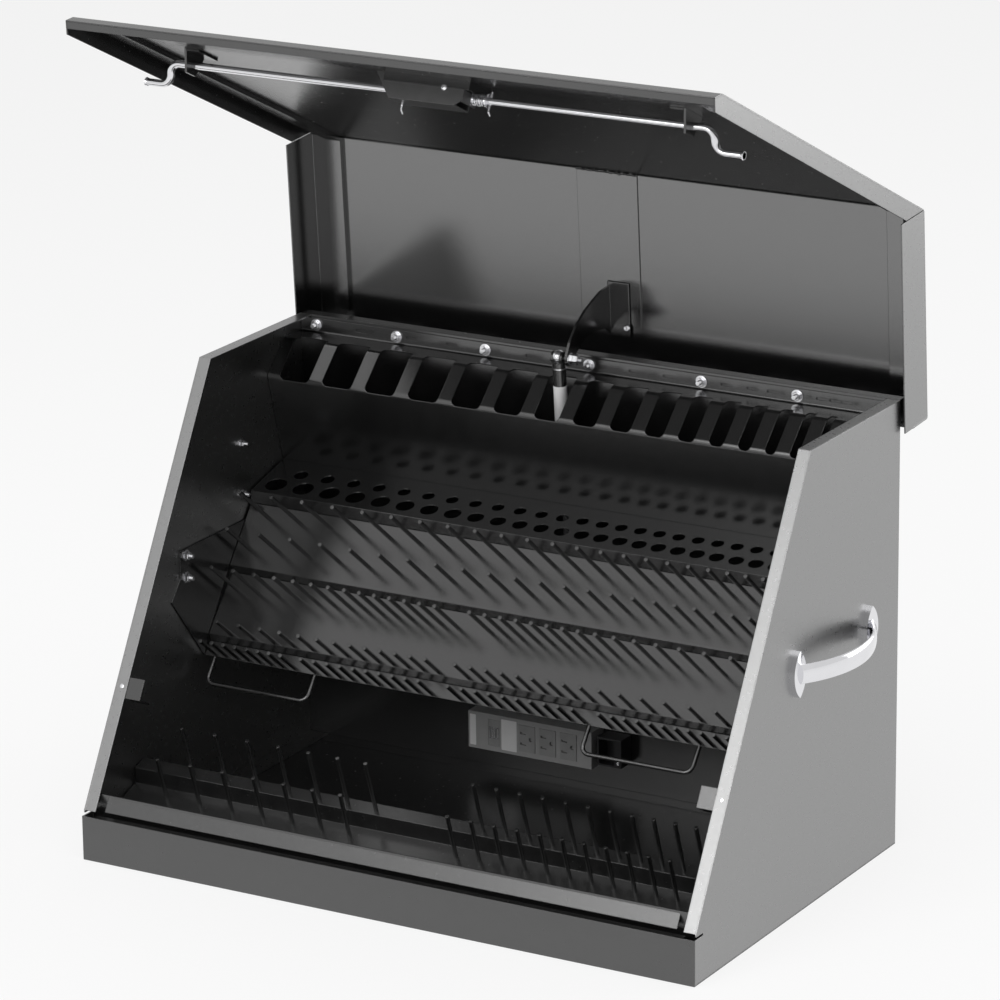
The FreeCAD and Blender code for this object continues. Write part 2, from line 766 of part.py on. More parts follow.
tray_bar_low = (front + tray_bar_setback, lip_height + tray_bar_lift)
tray_bar_high = (tray_bar_low[0] + tray_bar_width * slope_cos,
                 tray_bar_low[1] + tray_bar_width * slope_sin)
tray_front = (tray_bar_high[0] + 3, tray_front_height)
tray_rear = go(tray_front, tray_floor, tray_angle)
tray_edge = (tray_rear[0], tray_rear[1] + tray_riser)
tray_back = go(tray_edge, tray_step, tray_angle)


def make_socket_tray():
    piece = Piece("socket_tray")
    half = inner_side - tray_side_gap
    path = [tray_bar_high, tray_front, tray_rear, tray_edge, tray_back, (tray_back[0], wall * 2)]
    piece.pad(piece.strip("YZ_Plane", -half, path, wall, -1), half * 2)
    bar = [tray_bar_low, tray_bar_high]
    piece.pad(piece.strip("YZ_Plane", -tray_bar_length / 2, bar, wall, -1), tray_bar_length)


def make_tray_pegs():
    first = size("tray_peg_first", -327.6)
    pitch = size("tray_peg_pitch", 43.5)
    step = size("tray_peg_step", 1.6)
    second = size("tray_peg_second", 43.9)
    close = size("tray_peg_close", 29)
    close_step = size("tray_close_step", 0.45)
    least = size("least_tray_pitch", 20)
    short = spaced(first, pitch, step, least, 7) + spaced(second, close, close_step, least, 11)
    shift = size("tray_peg_shift", 22)
    tall = [place + shift for place in short]
    foot = go(tray_rear, -size("short_peg_setback", 14), tray_angle)
    make_pegs("tray_pegs_short", foot, tray_angle, short, size("short_peg_length", 54), peg_radius)
    foot = go(tray_edge, size("tall_peg_setback", 8), tray_angle)
    make_pegs("tray_pegs_tall", foot, tray_angle, tall, size("tall_peg_length", 64), peg_radius)


# Gas strut and its arm

strut_foot = (inner_back - strut_foot_setback, strut_foot_height)
ball_open = (hinge_y - ball_reach * cosine(lid_open_angle) - ball_drop * sine(lid_open_angle),
             hinge_z + ball_reach * sine(lid_open_angle) - ball_drop * cosine(lid_open_angle))
strut_length = root((ball_open[0] - strut_foot[0]) * (ball_open[0] - strut_foot[0])
                    + (ball_open[1] - strut_foot[1]) * (ball_open[1] - strut_foot[1]))
strut_lean = Size(math.degrees(math.atan2(strut_foot[0].value - ball_open[0].value,
                                          ball_open[1].value - strut_foot[1].value)),
                  f"atan(({strut_foot[0].text} - {ball_open[0].text}) / "
                  f"({ball_open[1].text} - {strut_foot[1].text}))")


def seat_on_strut(piece):
    """Stand a piece drawn along +Z on the strut's lower pivot, leaning as the strut does."""
    piece.seat(strut_side, strut_foot[0], strut_foot[1], strut_lean)


def make_strut():
    tube = Piece("strut_tube")
    low = strut_length - strut_tube_length - eye_radius
    tube.pad(tube.circles("XY_Plane", low, [(0, 0, strut_tube_radius)]), strut_tube_length + wall)
    tube.pad(tube.circles("YZ_Plane", -eye_width / 2, [(0, strut_length, eye_radius)]), eye_width)
    bore = tube.circles("XY_Plane", low - 1, [(0, 0, strut_rod_radius + strut_clearance)])
    tube.cut(bore, strut_tube_length - 8)
    seat_on_strut(tube)
    rod = Piece("strut_rod")
    rod.pad(rod.circles("YZ_Plane", -eye_width / 2, [(0, 0, eye_radius)]), eye_width)
    rod.pad(rod.circles("XY_Plane", 0, [(0, 0, strut_rod_radius)]), low + 28)
    pin = rod.circles("YZ_Plane", -eye_width, [(0, 0, stud_radius + strut_clearance)])
    rod.cut(pin, eye_width * 2)
    seat_on_strut(rod)


def make_strut_bracket():
    """A clip on the back panel with a pin through the rod's eye."""
    piece = Piece("strut_bracket")
    plate_low = strut_foot_height - 26
    plate_high = strut_foot_height + 26
    right = strut_side + eye_width / 2 + pivot_gap
    back_plate = [(inner_back - 2, plate_low), (inner_back - 2, plate_high), (inner_back, plate_high),
                  (inner_back, plate_low)]
    piece.pad(piece.outline("YZ_Plane", right, back_plate), 26)
    ear = [(inner_back, strut_foot_height - 14), (inner_back, strut_foot_height + 14),
           (strut_foot[0], strut_foot_height + 9), (strut_foot[0] - 8, strut_foot_height),
           (strut_foot[0], strut_foot_height - 9)]
    piece.pad(piece.outline("YZ_Plane", right, ear), 2.5)
    pin = piece.circles("YZ_Plane", right - eye_width - pivot_gap * 2 - 2,
                        [(strut_foot[0], strut_foot[1], stud_radius)])
    piece.pad(pin, eye_width + pivot_gap * 2 + 2 + 2.5)


def make_strut_arm():
    """A curved plate that hangs from the lid and carries the strut's upper stud."""
    piece = Piece("strut_arm")
    under = lid_top - wall * 2
    ball = (hinge_y - ball_reach, hinge_z - ball_drop)
    start = arm_side - arm_thickness / 2
    web = [(ball[0] - 73, under), (ball[0] - 53, under - 18), (ball[0] - 45, under - 52),
           (ball[0] - 26, ball[1] + 8), (ball[0] - 8, ball[1] - 6), (ball[0] + 7, ball[1] - 7),
           (ball[0] + 8, ball[1] + 4), (ball[0] - 8, ball[1] + 16), (ball[0] - 27, under - 58),
           (ball[0] - 30, under - 34), (ball[0] - 22, under - 14), (ball[0] - 8, under)]
    piece.pad(piece.outline("YZ_Plane", start, web), arm_thickness)
    foot = [(ball[0] - 78, under), (ball[0] + 2, under)]
    piece.pad(piece.strip("YZ_Plane", arm_side - 28, foot, 2, -1), 56)
    stud_start = strut_side + strut_tube_radius + pivot_gap
    stud = piece.circles("YZ_Plane", stud_start, [(ball[0], ball[1], stud_radius)])
    piece.pad(stud, start + arm_thickness + stud_end - stud_start)
    nut = piece.circles("YZ_Plane", start - nut_height, [(ball[0], ball[1], nut_radius)])
    piece.pad(nut, nut_height)
    piece.open_with_lid()


# Latch

rod_centre = lid_point(latch_height, wall + latch_rod_depth)


def make_latch_rod():
    """A straight rod across the lid with a cranked tip at each end."""
    piece = Piece("latch_rod")
    circle = (rod_centre[0], rod_centre[1], latch_rod_radius)
    reach = latch_rod_reach
    piece.pad(piece.circles("YZ_Plane", -reach, [circle]), reach * 2)
    for side in SIDES.values():
        leg = [(rod_centre[0], rod_centre[1] - latch_rod_radius),
               (rod_centre[0], rod_centre[1] + latch_rod_radius),
               (rod_centre[0] + latch_crank, rod_centre[1] + latch_rod_radius),
               (rod_centre[0] + latch_crank, rod_centre[1] - latch_rod_radius)]
        start, length = on_side(side, reach - latch_rod_radius * 2, reach)
        piece.pad(piece.outline("YZ_Plane", start, leg), length)
        start, length = on_side(side, reach - latch_rod_radius * 2, latch_tip_reach)
        tip = (rod_centre[0] + latch_crank, rod_centre[1], latch_rod_radius)
        piece.pad(piece.circles("YZ_Plane", start, [tip]), length)
    piece.open_with_lid()


def make_latch_guide(name, side):
    piece = Piece(f"latch_guide_{name}")
    width = 16
    start, length = on_side(side, latch_guide_side, latch_guide_side + 2.5)
    low = lid_point(latch_height - 20, wall)
    high = lid_point(latch_height + 20, wall)
    outer = lid_point(latch_height + 9, wall + latch_rod_depth + 10)
    inner = lid_point(latch_height - 9, wall + latch_rod_depth + 10)
    piece.pad(piece.outline("YZ_Plane", start, [low, high, outer, inner]), length)
    hole = (rod_centre[0], rod_centre[1], latch_rod_radius + latch_clearance)
    piece.cut(piece.circles("YZ_Plane", start - 1, [hole]), length + 2)
    start, length = on_side(side, latch_guide_side - width, latch_guide_side)
    piece.pad(piece.strip("YZ_Plane", start, [low, high], 2.5, -1), length)
    piece.open_with_lid()


def make_latch_housing():
    piece = Piece("latch_housing")
    centre = lid_point(latch_height, wall)
    place = {"y": centre[0], "z": centre[1], "angle": slope_angle}
    rim = piece.outline("XY_Plane", wall, rectangle(0, 0, housing_width, housing_height), **place)
    piece.pad(rim, rim_thickness)
    pan = piece.outline("XY_Plane", -housing_depth,
                        rectangle(0, 0, pan_width, pan_height), **place)
    piece.pad(pan, housing_depth + wall)
    well = piece.outline("XY_Plane", housing_wall - housing_depth,
                         rectangle(0, 0, well_width, well_height), **place)
    piece.cut(well, housing_depth + wall + rim_thickness)
    hole = (paddle_pivot[0], paddle_pivot[1], paddle_pin_radius + paddle_clearance)
    piece.cut(piece.circles("YZ_Plane", -paddle_pin_half - 0.5, [hole]), paddle_pin_half * 2 + 1)
    piece.open_with_lid()


pan_width = housing_width - housing_rim * 2
pan_height = housing_height - housing_rim_height * 2
well_width = pan_width - housing_wall * 2
well_height = pan_height - housing_wall * 2
paddle_top = well_height / 2 - paddle_gap - paddle_thickness
paddle_pivot = lid_point(latch_height + paddle_top, paddle_thickness - rim_thickness)
paddle_pin_half = well_width / 2 + housing_wall - paddle_thickness / 2


def make_paddle():
    """A flat paddle flush with the rim, on a pin along its upper edge."""
    piece = Piece("latch_paddle")
    centre = lid_point(latch_height, 0)
    place = {"y": centre[0], "z": centre[1], "angle": slope_angle}
    paddle_width = well_width - paddle_gap * 2
    low = paddle_gap - well_height / 2
    plate = rectangle(0, (paddle_top + low) / 2, paddle_width, paddle_top - low)
    start = wall + rim_thickness - paddle_thickness
    piece.pad(piece.outline("XY_Plane", start, plate, **place), paddle_thickness)
    hub = piece.circles("YZ_Plane", -paddle_width / 2, [(*paddle_pivot, paddle_thickness)])
    piece.pad(hub, paddle_width)
    pin = piece.circles("YZ_Plane", -paddle_pin_half, [(*paddle_pivot, paddle_pin_radius)])
    piece.pad(pin, paddle_pin_half * 2)
    piece.open_with_lid()


def make_catch(name, side):
    """A strike plate behind the side hem, with a hook that the latch tip passes."""
    piece = Piece(f"catch_{name}")
    start, length = on_side(side, inner_side - catch_width, inner_side)
    depth = lid_overhang + wall
    plate = [lid_point(catch_low, depth), lid_point(catch_high, depth)]
    piece.pad(piece.strip("YZ_Plane", start, plate, 2, -1), length)
    start, length = on_side(side, inner_side - catch_width, half_width - side_hem)
    hook = [lid_point(catch_low, depth), lid_point(catch_low, depth + catch_hook)]
    piece.pad(piece.strip("YZ_Plane", start, hook, 2, 1), length)


# Handles

def make_handle(name, side):
    """A bow grip between two pointed oval feet."""
    piece = Piece(f"handle_{name}")
    front_y = front + handle_front
    rear_y = front_y + handle_spread
    half_foot = handle_foot_height / 2
    start, length = on_side(side, half_width, half_width + handle_foot_depth)
    for y in (front_y, rear_y):
        foot = piece.sketch("YZ_Plane", start)
        draw_pointed_oval(foot, y, handle_height, handle_foot_width, half_foot)
        piece.pad(foot, length)
    path = piece.sketch("XY_Plane", handle_height)
    root_x = half_width + grip_thickness / 2 + rest_gap
    crown_x = half_width + handle_reach - grip_thickness / 2
    ends = [(root_x * side, front_y), (root_x * side, rear_y)]
    middle = (crown_x * side, (front_y + rear_y) / 2)
    points = [Vector(ends[0][0].value, ends[0][1].value, 0), Vector(middle[0].value, middle[1].value, 0),
              Vector(ends[1][0].value, ends[1][1].value, 0)]
    path.addGeometry(Part.Arc(*points))
    spread = handle_spread / 2
    rise = crown_x - root_x
    bow = (spread * spread + rise * rise) / (rise * 2)
    pin_point(path, 0, 3, ((crown_x - bow) * side, front_y + spread))
    first_end = 1 if path.getPoint(0, 1).y < path.getPoint(0, 2).y else 2
    pin_point(path, 0, first_end, ends[0])
    path.addConstraint(Sketcher.Constraint("DistanceY", -1, 1, 0, 3 - first_end, rear_y.value))
    bind(path, f"Constraints[{path.ConstraintCount - 1}]", rear_y)
    section = piece.sketch("XZ_Plane", -front_y)
    draw_ellipse(section, ends[0][0], handle_height, grip_thickness / 2, grip_height / 2)
    pipe = piece.add("PartDesign::AdditivePipe", "bow")
    pipe.Profile = section
    pipe.Spine = (path, ["Edge1"])
    return piece


def draw_pointed_oval(sketch, y, z, width, half_height):
    """Two arcs that meet in a point above and below."""
    half = width / 2
    radius = (half * half + half_height * half_height) / width
    for way in (-1, 1):
        sketch.addGeometry(Part.Arc(Vector(y.value, (z - half_height).value, 0),
                                    Vector((y + half * way).value, z.value, 0),
                                    Vector(y.value, (z + half_height).value, 0)))
    low = [1 if sketch.getPoint(item, 1).y < sketch.getPoint(item, 2).y else 2 for item in (0, 1)]
    sketch.addConstraint(Sketcher.Constraint("Coincident", 0, low[0], 1, low[1]))
    sketch.addConstraint(Sketcher.Constraint("Coincident", 0, 3 - low[0], 1, 3 - low[1]))
    pin_point(sketch, 0, low[0], (y, z - half_height))
    pin_point(sketch, 0, 3 - low[0], (y, z + half_height))
    pin_across(sketch, 0, y + radius - half)
    pin_across(sketch, 1, y - radius + half)


def draw_ellipse(sketch, x, z, half_x, half_z):
    """A full ellipse whose long axis is vertical."""
    sketch.addGeometry(Part.Ellipse(Vector(x.value, (z + half_z).value, 0),
                                    Vector((x + half_x).value, z.value, 0),
                                    Vector(x.value, z.value, 0)))
    sketch.exposeInternalGeometry(0)
    pin_point(sketch, 1, 1, (as_size(x), z + half_z))
    pin_point(sketch, 1, 2, (as_size(x), z - half_z))
    sketch.addConstraint(Sketcher.Constraint("Distance", 2, (half_x * 2).value))
    bind(sketch, f"Constraints[{sketch.ConstraintCount - 1}]", half_x * 2)


# Wire loops

def make_tool_loop(name, left, right):
    """A bent wire that hangs from the lowest panel's edge, in the panel's own tilt."""
    piece = Piece(f"tool_loop_{name}")
    path = piece.sketch("XY_Plane", 0)
    low = -loop_drop
    corner = loop_corner
    points = [(left, 0), (left, low + corner), (left + corner, low), (right - corner, low),
              (right, low + corner), (right, 0)]
    points = [(as_size(x), as_size(y)) for x, y in points]
    vectors = [Vector(x.value, y.value, 0) for x, y in points]
    path.addGeometry(Part.LineSegment(vectors[0], vectors[1]))
    path.addGeometry(Part.LineSegment(vectors[2], vectors[3]))
    path.addGeometry(Part.LineSegment(vectors[4], vectors[5]))
    reach = corner.value
    bends = (((left + corner, low + corner), math.pi),
             ((right - corner, low + corner), 1.5 * math.pi))
    for centre, begin in bends:
        circle = Part.Circle(Vector(centre[0].value, centre[1].value, 0), Vector(0, 0, 1), reach)
        path.addGeometry(Part.ArcOfCircle(circle, begin, begin + math.pi / 2))
    rule = Sketcher.Constraint
    for index, (item, end) in enumerate(((0, 1), (0, 2), (1, 1), (1, 2), (2, 1), (2, 2))):
        pin_point(path, item, end, points[index])
    for pair in ((0, 2, 3, 1), (1, 1, 3, 2), (1, 2, 4, 1), (2, 1, 4, 2)):
        path.addConstraint(rule("Coincident", *pair))
    for item in (3, 4):
        path.addConstraint(rule("Radius", item, reach))
        bind(path, f"Constraints[{path.ConstraintCount - 1}]", corner)
    section = piece.circles("XZ_Plane", 0, [(left, 0, loop_radius)])
    pipe = piece.add("PartDesign::AdditivePipe", "wire")
    pipe.Profile = section
    pipe.Spine = (path, ["Edge1", "Edge2", "Edge3", "Edge4", "Edge5"])
    foot = go(lower_end, wall / 2, tier_angle - 90)
    piece.seat(0, foot[0], foot[1], tier_angle)


# Power strip

def make_power_strip():
    piece = Piece("strip_housing")
    face = inner_back - strip_depth
    body = [(face, strip_low), (face, strip_low + strip_height), (inner_back, strip_low + strip_height),
            (inner_back, strip_low)]
    piece.pad(piece.outline("YZ_Plane", strip_left, body), strip_length)
    window_low = strip_low + 6
    openings = [("usb", 26, 15)]
    outlet_pitch = size("outlet_pitch", 27)
    outlet_size = size("outlet_size", 22)
    outlet_first = size("outlet_first", 66)
    for index in range(3):
        openings.append((f"outlet_{index + 1}", outlet_first + outlet_pitch * index, outlet_size))
    for name, offset, width in openings:
        left = strip_left + offset
        high = strip_low + strip_height - 6
        inset = [(left, window_low), (left, high), (left + width, high), (left + width, window_low)]
        piece.cut(piece.outline("XZ_Plane", -face - 3, inset), 4)
        part = Piece(f"strip_{name}")
        gap = wall * 0.1
        block = [(left + gap, window_low + gap), (left + gap, high - gap),
                 (left + width - gap, high - gap), (left + width - gap, window_low + gap)]
        part.pad(part.outline("XZ_Plane", -face - 3, block), 2.6)


def make_everything():
    for name, side in SIDES.items():
        make_side_panel(name, side)
    make_base_pan()
    make_back_panel()
    make_hinge_channel()
    make_hinge()
    make_lid_shell()
    for name, side in SIDES.items():
        make_lid_seal(name, side)
    make_lid_doubler()
    make_plier_rack()
    make_driver_shelf()
    make_peg_panel("upper", upper_top, upper_tier, tier_lip)
    make_peg_panel("middle", middle_top, middle_tier, tier_lip)
    make_peg_panel("lower", lower_top, lower_tier, None)
    make_all_pegs()
    for name, side in SIDES.items():
        make_tier_bracket(name, side)
    make_socket_tray()
    make_tray_pegs()
    make_strut()
    make_strut_bracket()
    make_strut_arm()
    make_latch_rod()
    make_latch_housing()
    make_paddle()
    for name, side in SIDES.items():
        make_latch_guide(name, side)
        make_catch(name, side)
        make_handle(name, side)
    make_tool_loop("left", size("left_loop_start", -363.5), size("left_loop_end", -231))
    make_tool_loop("right", size("right_loop_start", 119.5), size("right_loop_end", 255))
    make_power_strip()


def write_parts():
    doc.recompute()
    for item in doc.Objects:
        if "Invalid" in item.State or "Error" in item.State:
            raise ValueError(f"{item.Name} is {item.State}")
    for piece in Piece.every:
        shape = piece.body.Shape
        if shape.isNull() or not shape.isValid():
            raise ValueError(f"{piece.name} has no valid shape")
    for piece in Piece.every:
        piece.body.Shape.exportStep(f"parts/{piece.name}.step")
        box = piece.body.Shape.BoundBox
        print(f"{piece.name}: {len(piece.body.Shape.Solids)} solids, "
              f"{piece.body.Shape.Volume:.0f} mm3, X {box.XMin:.1f} {box.XMax:.1f}, "
              f"Y {box.YMin:.1f} {box.YMax:.1f}, Z {box.ZMin:.1f} {box.ZMax:.1f}")


make_everything()
write_parts()
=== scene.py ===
import json
import logging
import math
from dataclasses import dataclass
from enum import Enum

import bmesh
import bpy
from mathutils import Matrix, Vector


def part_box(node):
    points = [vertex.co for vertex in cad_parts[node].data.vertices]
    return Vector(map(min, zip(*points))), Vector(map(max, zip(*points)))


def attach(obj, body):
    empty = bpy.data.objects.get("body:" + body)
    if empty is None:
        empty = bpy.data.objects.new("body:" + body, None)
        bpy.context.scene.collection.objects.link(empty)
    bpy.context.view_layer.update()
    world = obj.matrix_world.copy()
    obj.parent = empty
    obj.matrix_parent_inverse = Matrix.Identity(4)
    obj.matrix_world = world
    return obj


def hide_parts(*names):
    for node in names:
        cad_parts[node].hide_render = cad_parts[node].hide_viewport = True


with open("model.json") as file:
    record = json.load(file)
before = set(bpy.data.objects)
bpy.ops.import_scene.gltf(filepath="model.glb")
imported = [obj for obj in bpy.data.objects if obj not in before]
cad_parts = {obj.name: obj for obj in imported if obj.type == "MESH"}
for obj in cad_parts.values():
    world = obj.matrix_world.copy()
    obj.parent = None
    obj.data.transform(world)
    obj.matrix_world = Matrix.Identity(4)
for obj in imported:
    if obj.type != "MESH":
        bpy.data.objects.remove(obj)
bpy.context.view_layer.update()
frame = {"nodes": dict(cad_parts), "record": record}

PHOTO_PIXELS = 1000
SENSOR_MM = 36.0
MM = 0.001

log = logging.getLogger("workstation")


class Coat(Enum):
    """Which of the painted steel's looks a sheet has."""

    OUTSIDE = "outside"
    INSIDE = "inside"
    LID = "lid"
    FRONT = "front"


class NodeSheet:
    """A material's node tree, with short calls to add and join nodes."""

    def __init__(self, name: str) -> None:
        """Start a material whose surface is one principled shader.

        Args:
            name: The material's name.
        """
        self.material = bpy.data.materials.new(name)
        self.material.use_nodes = True
        self.tree = self.material.node_tree
        self.tree.nodes.clear()
        self.shader = self.add("ShaderNodeBsdfPrincipled")
        self.output = self.add("ShaderNodeOutputMaterial")
        self.join(self.shader, "BSDF", self.output, "Surface")
        self.place = self.add("ShaderNodeTexCoord")

    def add(self, kind: str, **values: float | str | tuple) -> bpy.types.Node:
        """Add a node and set its named inputs or properties.

        Args:
            kind: The node's type name.
            values: Socket names with spaces as underscores, or properties.

        Returns:
            The new node.
        """
        node = self.tree.nodes.new(kind)
        for word, value in values.items():
            socket = node.inputs.get(word.replace("_", " "))
            if socket is not None:
                socket.default_value = value
            else:
                setattr(node, word, value)
        return node

    def join(self, source: bpy.types.Node, out: str, target: bpy.types.Node, into: str | int) -> None:
        """Link one node's output to another's input."""
        self.tree.links.new(source.outputs[out], target.inputs[into])

    def set(self, **values: float | tuple) -> None:
        """Set constants on the shader's own sockets."""
        for word, value in values.items():
            self.shader.inputs[word.replace("_", " ")].default_value = value

    def noise(self, scale: float, detail: float = 2.0, stretch: tuple = (1, 1, 1)) -> bpy.types.Node:
        """Noise on object coordinates, in cells per metre.

        Args:
            scale: Cells per metre.
            detail: How many finer layers the noise has.
            stretch: How much each axis is squeezed.

        Returns:
            The noise node.
        """
        mapping = self.add("ShaderNodeMapping", Scale=stretch)
        self.join(self.place, "Object", mapping, "Vector")
        noise = self.add("ShaderNodeTexNoise", Scale=scale, Detail=detail)
        self.join(mapping, "Vector", noise, "Vector")
        return noise

    def range(self, source: bpy.types.Node, out: str, low: float, high: float) -> bpy.types.Node:
        """Spread a 0 to 1 value over a range."""
        spread = self.add("ShaderNodeMapRange", To_Min=low, To_Max=high)
        self.join(source, out, spread, "Value")
        return spread

    def roughen(self, scale: float, low: float, high: float, **how: float | tuple) -> None:
        """Let the roughness wander between two values."""
        noise = self.noise(scale, **how)
        self.join(self.range(noise, "Fac", low, high), "Result", self.shader, "Roughness")

    def tint(self, scale: float, dark: tuple, light: tuple, **how: float | tuple) -> None:
        """Let the colour wander between two colours."""
        noise = self.noise(scale, **how)
        mix = self.add("ShaderNodeMix", data_type="RGBA")
        mix.inputs[6].default_value = (*dark, 1)
        mix.inputs[7].default_value = (*light, 1)
        self.join(noise, "Fac", mix, 0)
        self.tree.links.new(mix.outputs[2], self.shader.inputs["Base Color"])

    def relief(self, scale: float, height: float, edge: float = 0.0, **how: float | tuple) -> None:
        """Raise the surface a little with noise and soften its edges.

        Args:
            scale: Cells per metre.
            height: How high the noise stands, in metres.
            edge: Radius to which sharp edges look broken, in metres.
            how: Passed on to the noise.
        """
        noise = self.noise(scale, **how)
        bump = self.add("ShaderNodeBump", Distance=height, Strength=1.0)
        self.join(noise, "Fac", bump, "Height")
        if edge:
            broken = self.add("ShaderNodeBevel", Radius=edge, samples=3)
            self.join(broken, "Normal", bump, "Normal")
        self.join(bump, "Normal", self.shader, "Normal")


class Forge:
    """A piece in the making: a mesh in millimetres, closed shapes only."""

    def __init__(self, name: str) -> None:
        """Start an empty piece.

        Args:
            name: The piece's name.
        """
        self.name = name
        self.mesh = bmesh.new()

    def block(self, low: tuple, high: tuple, bevel: float = 0.0, steps: int = 2,
              along: str = "") -> list:
        """Add a box between two corners.

        Args:
            low: Its lowest corner.
            high: Its highest corner.
            bevel: How far its edges are cut back.
            steps: Segments of each rounded edge.
            along: Round only the edges along this axis, x, y or z.

        Returns:
            The box's vertices.
        """
        low = Vector(low)
        high = Vector(high)
        made = bmesh.ops.create_cube(self.mesh, size=1.0)["verts"]
        bmesh.ops.scale(self.mesh, vec=high - low, verts=made)
        bmesh.ops.translate(self.mesh, vec=(low + high) / 2, verts=made)
        if not bevel:
            return made
        edges = {edge for vert in made for edge in vert.link_edges}
        if along:
            axis = Vector([float(along == word) for word in "xyz"])
            edges = {edge for edge in edges
                     if abs((edge.verts[0].co - edge.verts[1].co).normalized().dot(axis)) > 0.99}
        return self.round_edges(edges, bevel, steps)

    def round_edges(self, edges: set, width: float, steps: int) -> list:
        """Round edges and return the vertices of the shape they belong to."""
        out = bmesh.ops.bevel(self.mesh, geom=list(edges), offset=width, segments=steps,
                              affect="EDGES", profile=0.5, material=-1)
        return self.island(out["verts"][0])

    def island(self, start: bmesh.types.BMVert) -> list:
        """Every vertex that edges join to one."""
        found = {start}
        queue = [start]
        while queue:
            vert = queue.pop()
            for edge in vert.link_edges:
                other = edge.other_vert(vert)
                if other not in found:
                    found.add(other)
                    queue.append(other)
        return list(found)

    def bar(self, start: tuple, end: tuple, radius: float, tip: float = -1.0, sides: int = 20) -> list:
        """Add a round or many-sided bar between two points.

        Args:
            start: The middle of its first face.
            end: The middle of its last face.
            radius: Its radius at the start.
            tip: Its radius at the end, where that differs.
            sides: How many sides it has.

        Returns:
            The bar's vertices.
        """
        start = Vector(start)
        end = Vector(end)
        made = bmesh.ops.create_cone(self.mesh, cap_ends=True, segments=sides, radius1=radius,
                                     radius2=radius if tip < 0 else tip,
                                     depth=(end - start).length)["verts"]
        turn = (end - start).to_track_quat("Z", "Y").to_matrix().to_4x4()
        bmesh.ops.transform(self.mesh, matrix=Matrix.Translation((start + end) / 2) @ turn, verts=made)
        return made

    def ball(self, middle: tuple, radius: float, flat: float = 1.0) -> list:
        """Add a ball, squeezed along Z where flat is below one."""
        made = bmesh.ops.create_uvsphere(self.mesh, u_segments=20, v_segments=12, radius=radius)["verts"]
        bmesh.ops.scale(self.mesh, vec=(1, 1, flat), verts=made)
        bmesh.ops.translate(self.mesh, vec=middle, verts=made)
        return made

    def outline(self, points: list, start: float, length: float, rounding: float = 0.0,
                steps: int = 4) -> list:
        """Pad an outline in the YZ plane along X.

        Args:
            points: Its corners as (y, z).
            start: Where along X it begins.
            length: How far it goes along X.
            rounding: Radius of its corners.
            steps: Segments of each rounded corner.

        Returns:
            The shape's vertices.
        """
        corners = [self.mesh.verts.new((start, y, z)) for y, z in points]
        face = self.mesh.faces.new(corners)
        if rounding:
            out = bmesh.ops.bevel(self.mesh, geom=corners, offset=rounding, segments=steps,
                                  affect="VERTICES", profile=0.5, material=-1)
            face = out["verts"][0].link_faces[0]
        out = bmesh.ops.extrude_face_region(self.mesh, geom=[face])["geom"]
        moved = [item for item in out if isinstance(item, bmesh.types.BMVert)]
        bmesh.ops.translate(self.mesh, vec=(length, 0, 0), verts=moved)
        return self.island(moved[0])

    def sheet(self, path: list, start: float, length: float, thickness: float,
              bend: float = 0.0, steps: int = 4) -> list:
        """Add a bent sheet whose section is a path in the YZ plane.

        Args:
            path: The bends and ends of one surface as (y, z).
            start: Where along X it begins.
            length: How far it goes along X.
            thickness: Sheet thickness, to the path's left where positive.
            bend: Radius of its bends.
            steps: Segments of each bend.

        Returns:
            The sheet's vertices.
        """
        corners = [self.mesh.verts.new((start, y, z)) for y, z in path]
        edges = [self.mesh.edges.new(pair) for pair in zip(corners, corners[1:])]
        if bend:
            bmesh.ops.bevel(self.mesh, geom=corners[1:-1], offset=bend, segments=steps,
                            affect="VERTICES", profile=0.5, material=-1)
            chain = self.island(corners[0])
            edges = list({edge for vert in chain for edge in vert.link_edges})
        out = bmesh.ops.extrude_edge_only(self.mesh, edges=edges)["geom"]
        moved = [item for item in out if isinstance(item, bmesh.types.BMVert)]
        bmesh.ops.translate(self.mesh, vec=(length, 0, 0), verts=moved)
        faces = list({face for vert in moved for face in vert.link_faces})
        bmesh.ops.recalc_face_normals(self.mesh, faces=faces)
        first = min(faces, key=lambda face: (Vector((0, *path[0])) - face.calc_center_median()).yz.length)
        along = Vector((0, path[1][0] - path[0][0], path[1][1] - path[0][1]))
        left = Vector((0, -along.z, along.y))
        first.normal_update()
        side = 1.0 if first.normal.dot(left) > 0 else -1.0
        bmesh.ops.solidify(self.mesh, geom=faces, thickness=-thickness * side)
        return self.island(moved[0])

    def cut(self, cutters: list) -> None:
        """Take other pieces' shapes out of what is here so far."""
        thing = self.make_object(Matrix.Identity(4))
        for cutter in cutters:
            tool = cutter.make_object(Matrix.Identity(4))
            step = thing.modifiers.new("cut", "BOOLEAN")
            step.object = tool
            step.solver = "EXACT"
            bpy.context.view_layer.update()
            done = bpy.data.meshes.new_from_object(
                thing.evaluated_get(bpy.context.evaluated_depsgraph_get()))
            thing.modifiers.clear()
            thing.data = done
            bpy.data.objects.remove(tool)
        self.mesh = bmesh.new()
        self.mesh.from_mesh(thing.data)
        bmesh.ops.transform(self.mesh, matrix=Matrix.Scale(1 / MM, 4), verts=self.mesh.verts)
        bpy.data.objects.remove(thing)

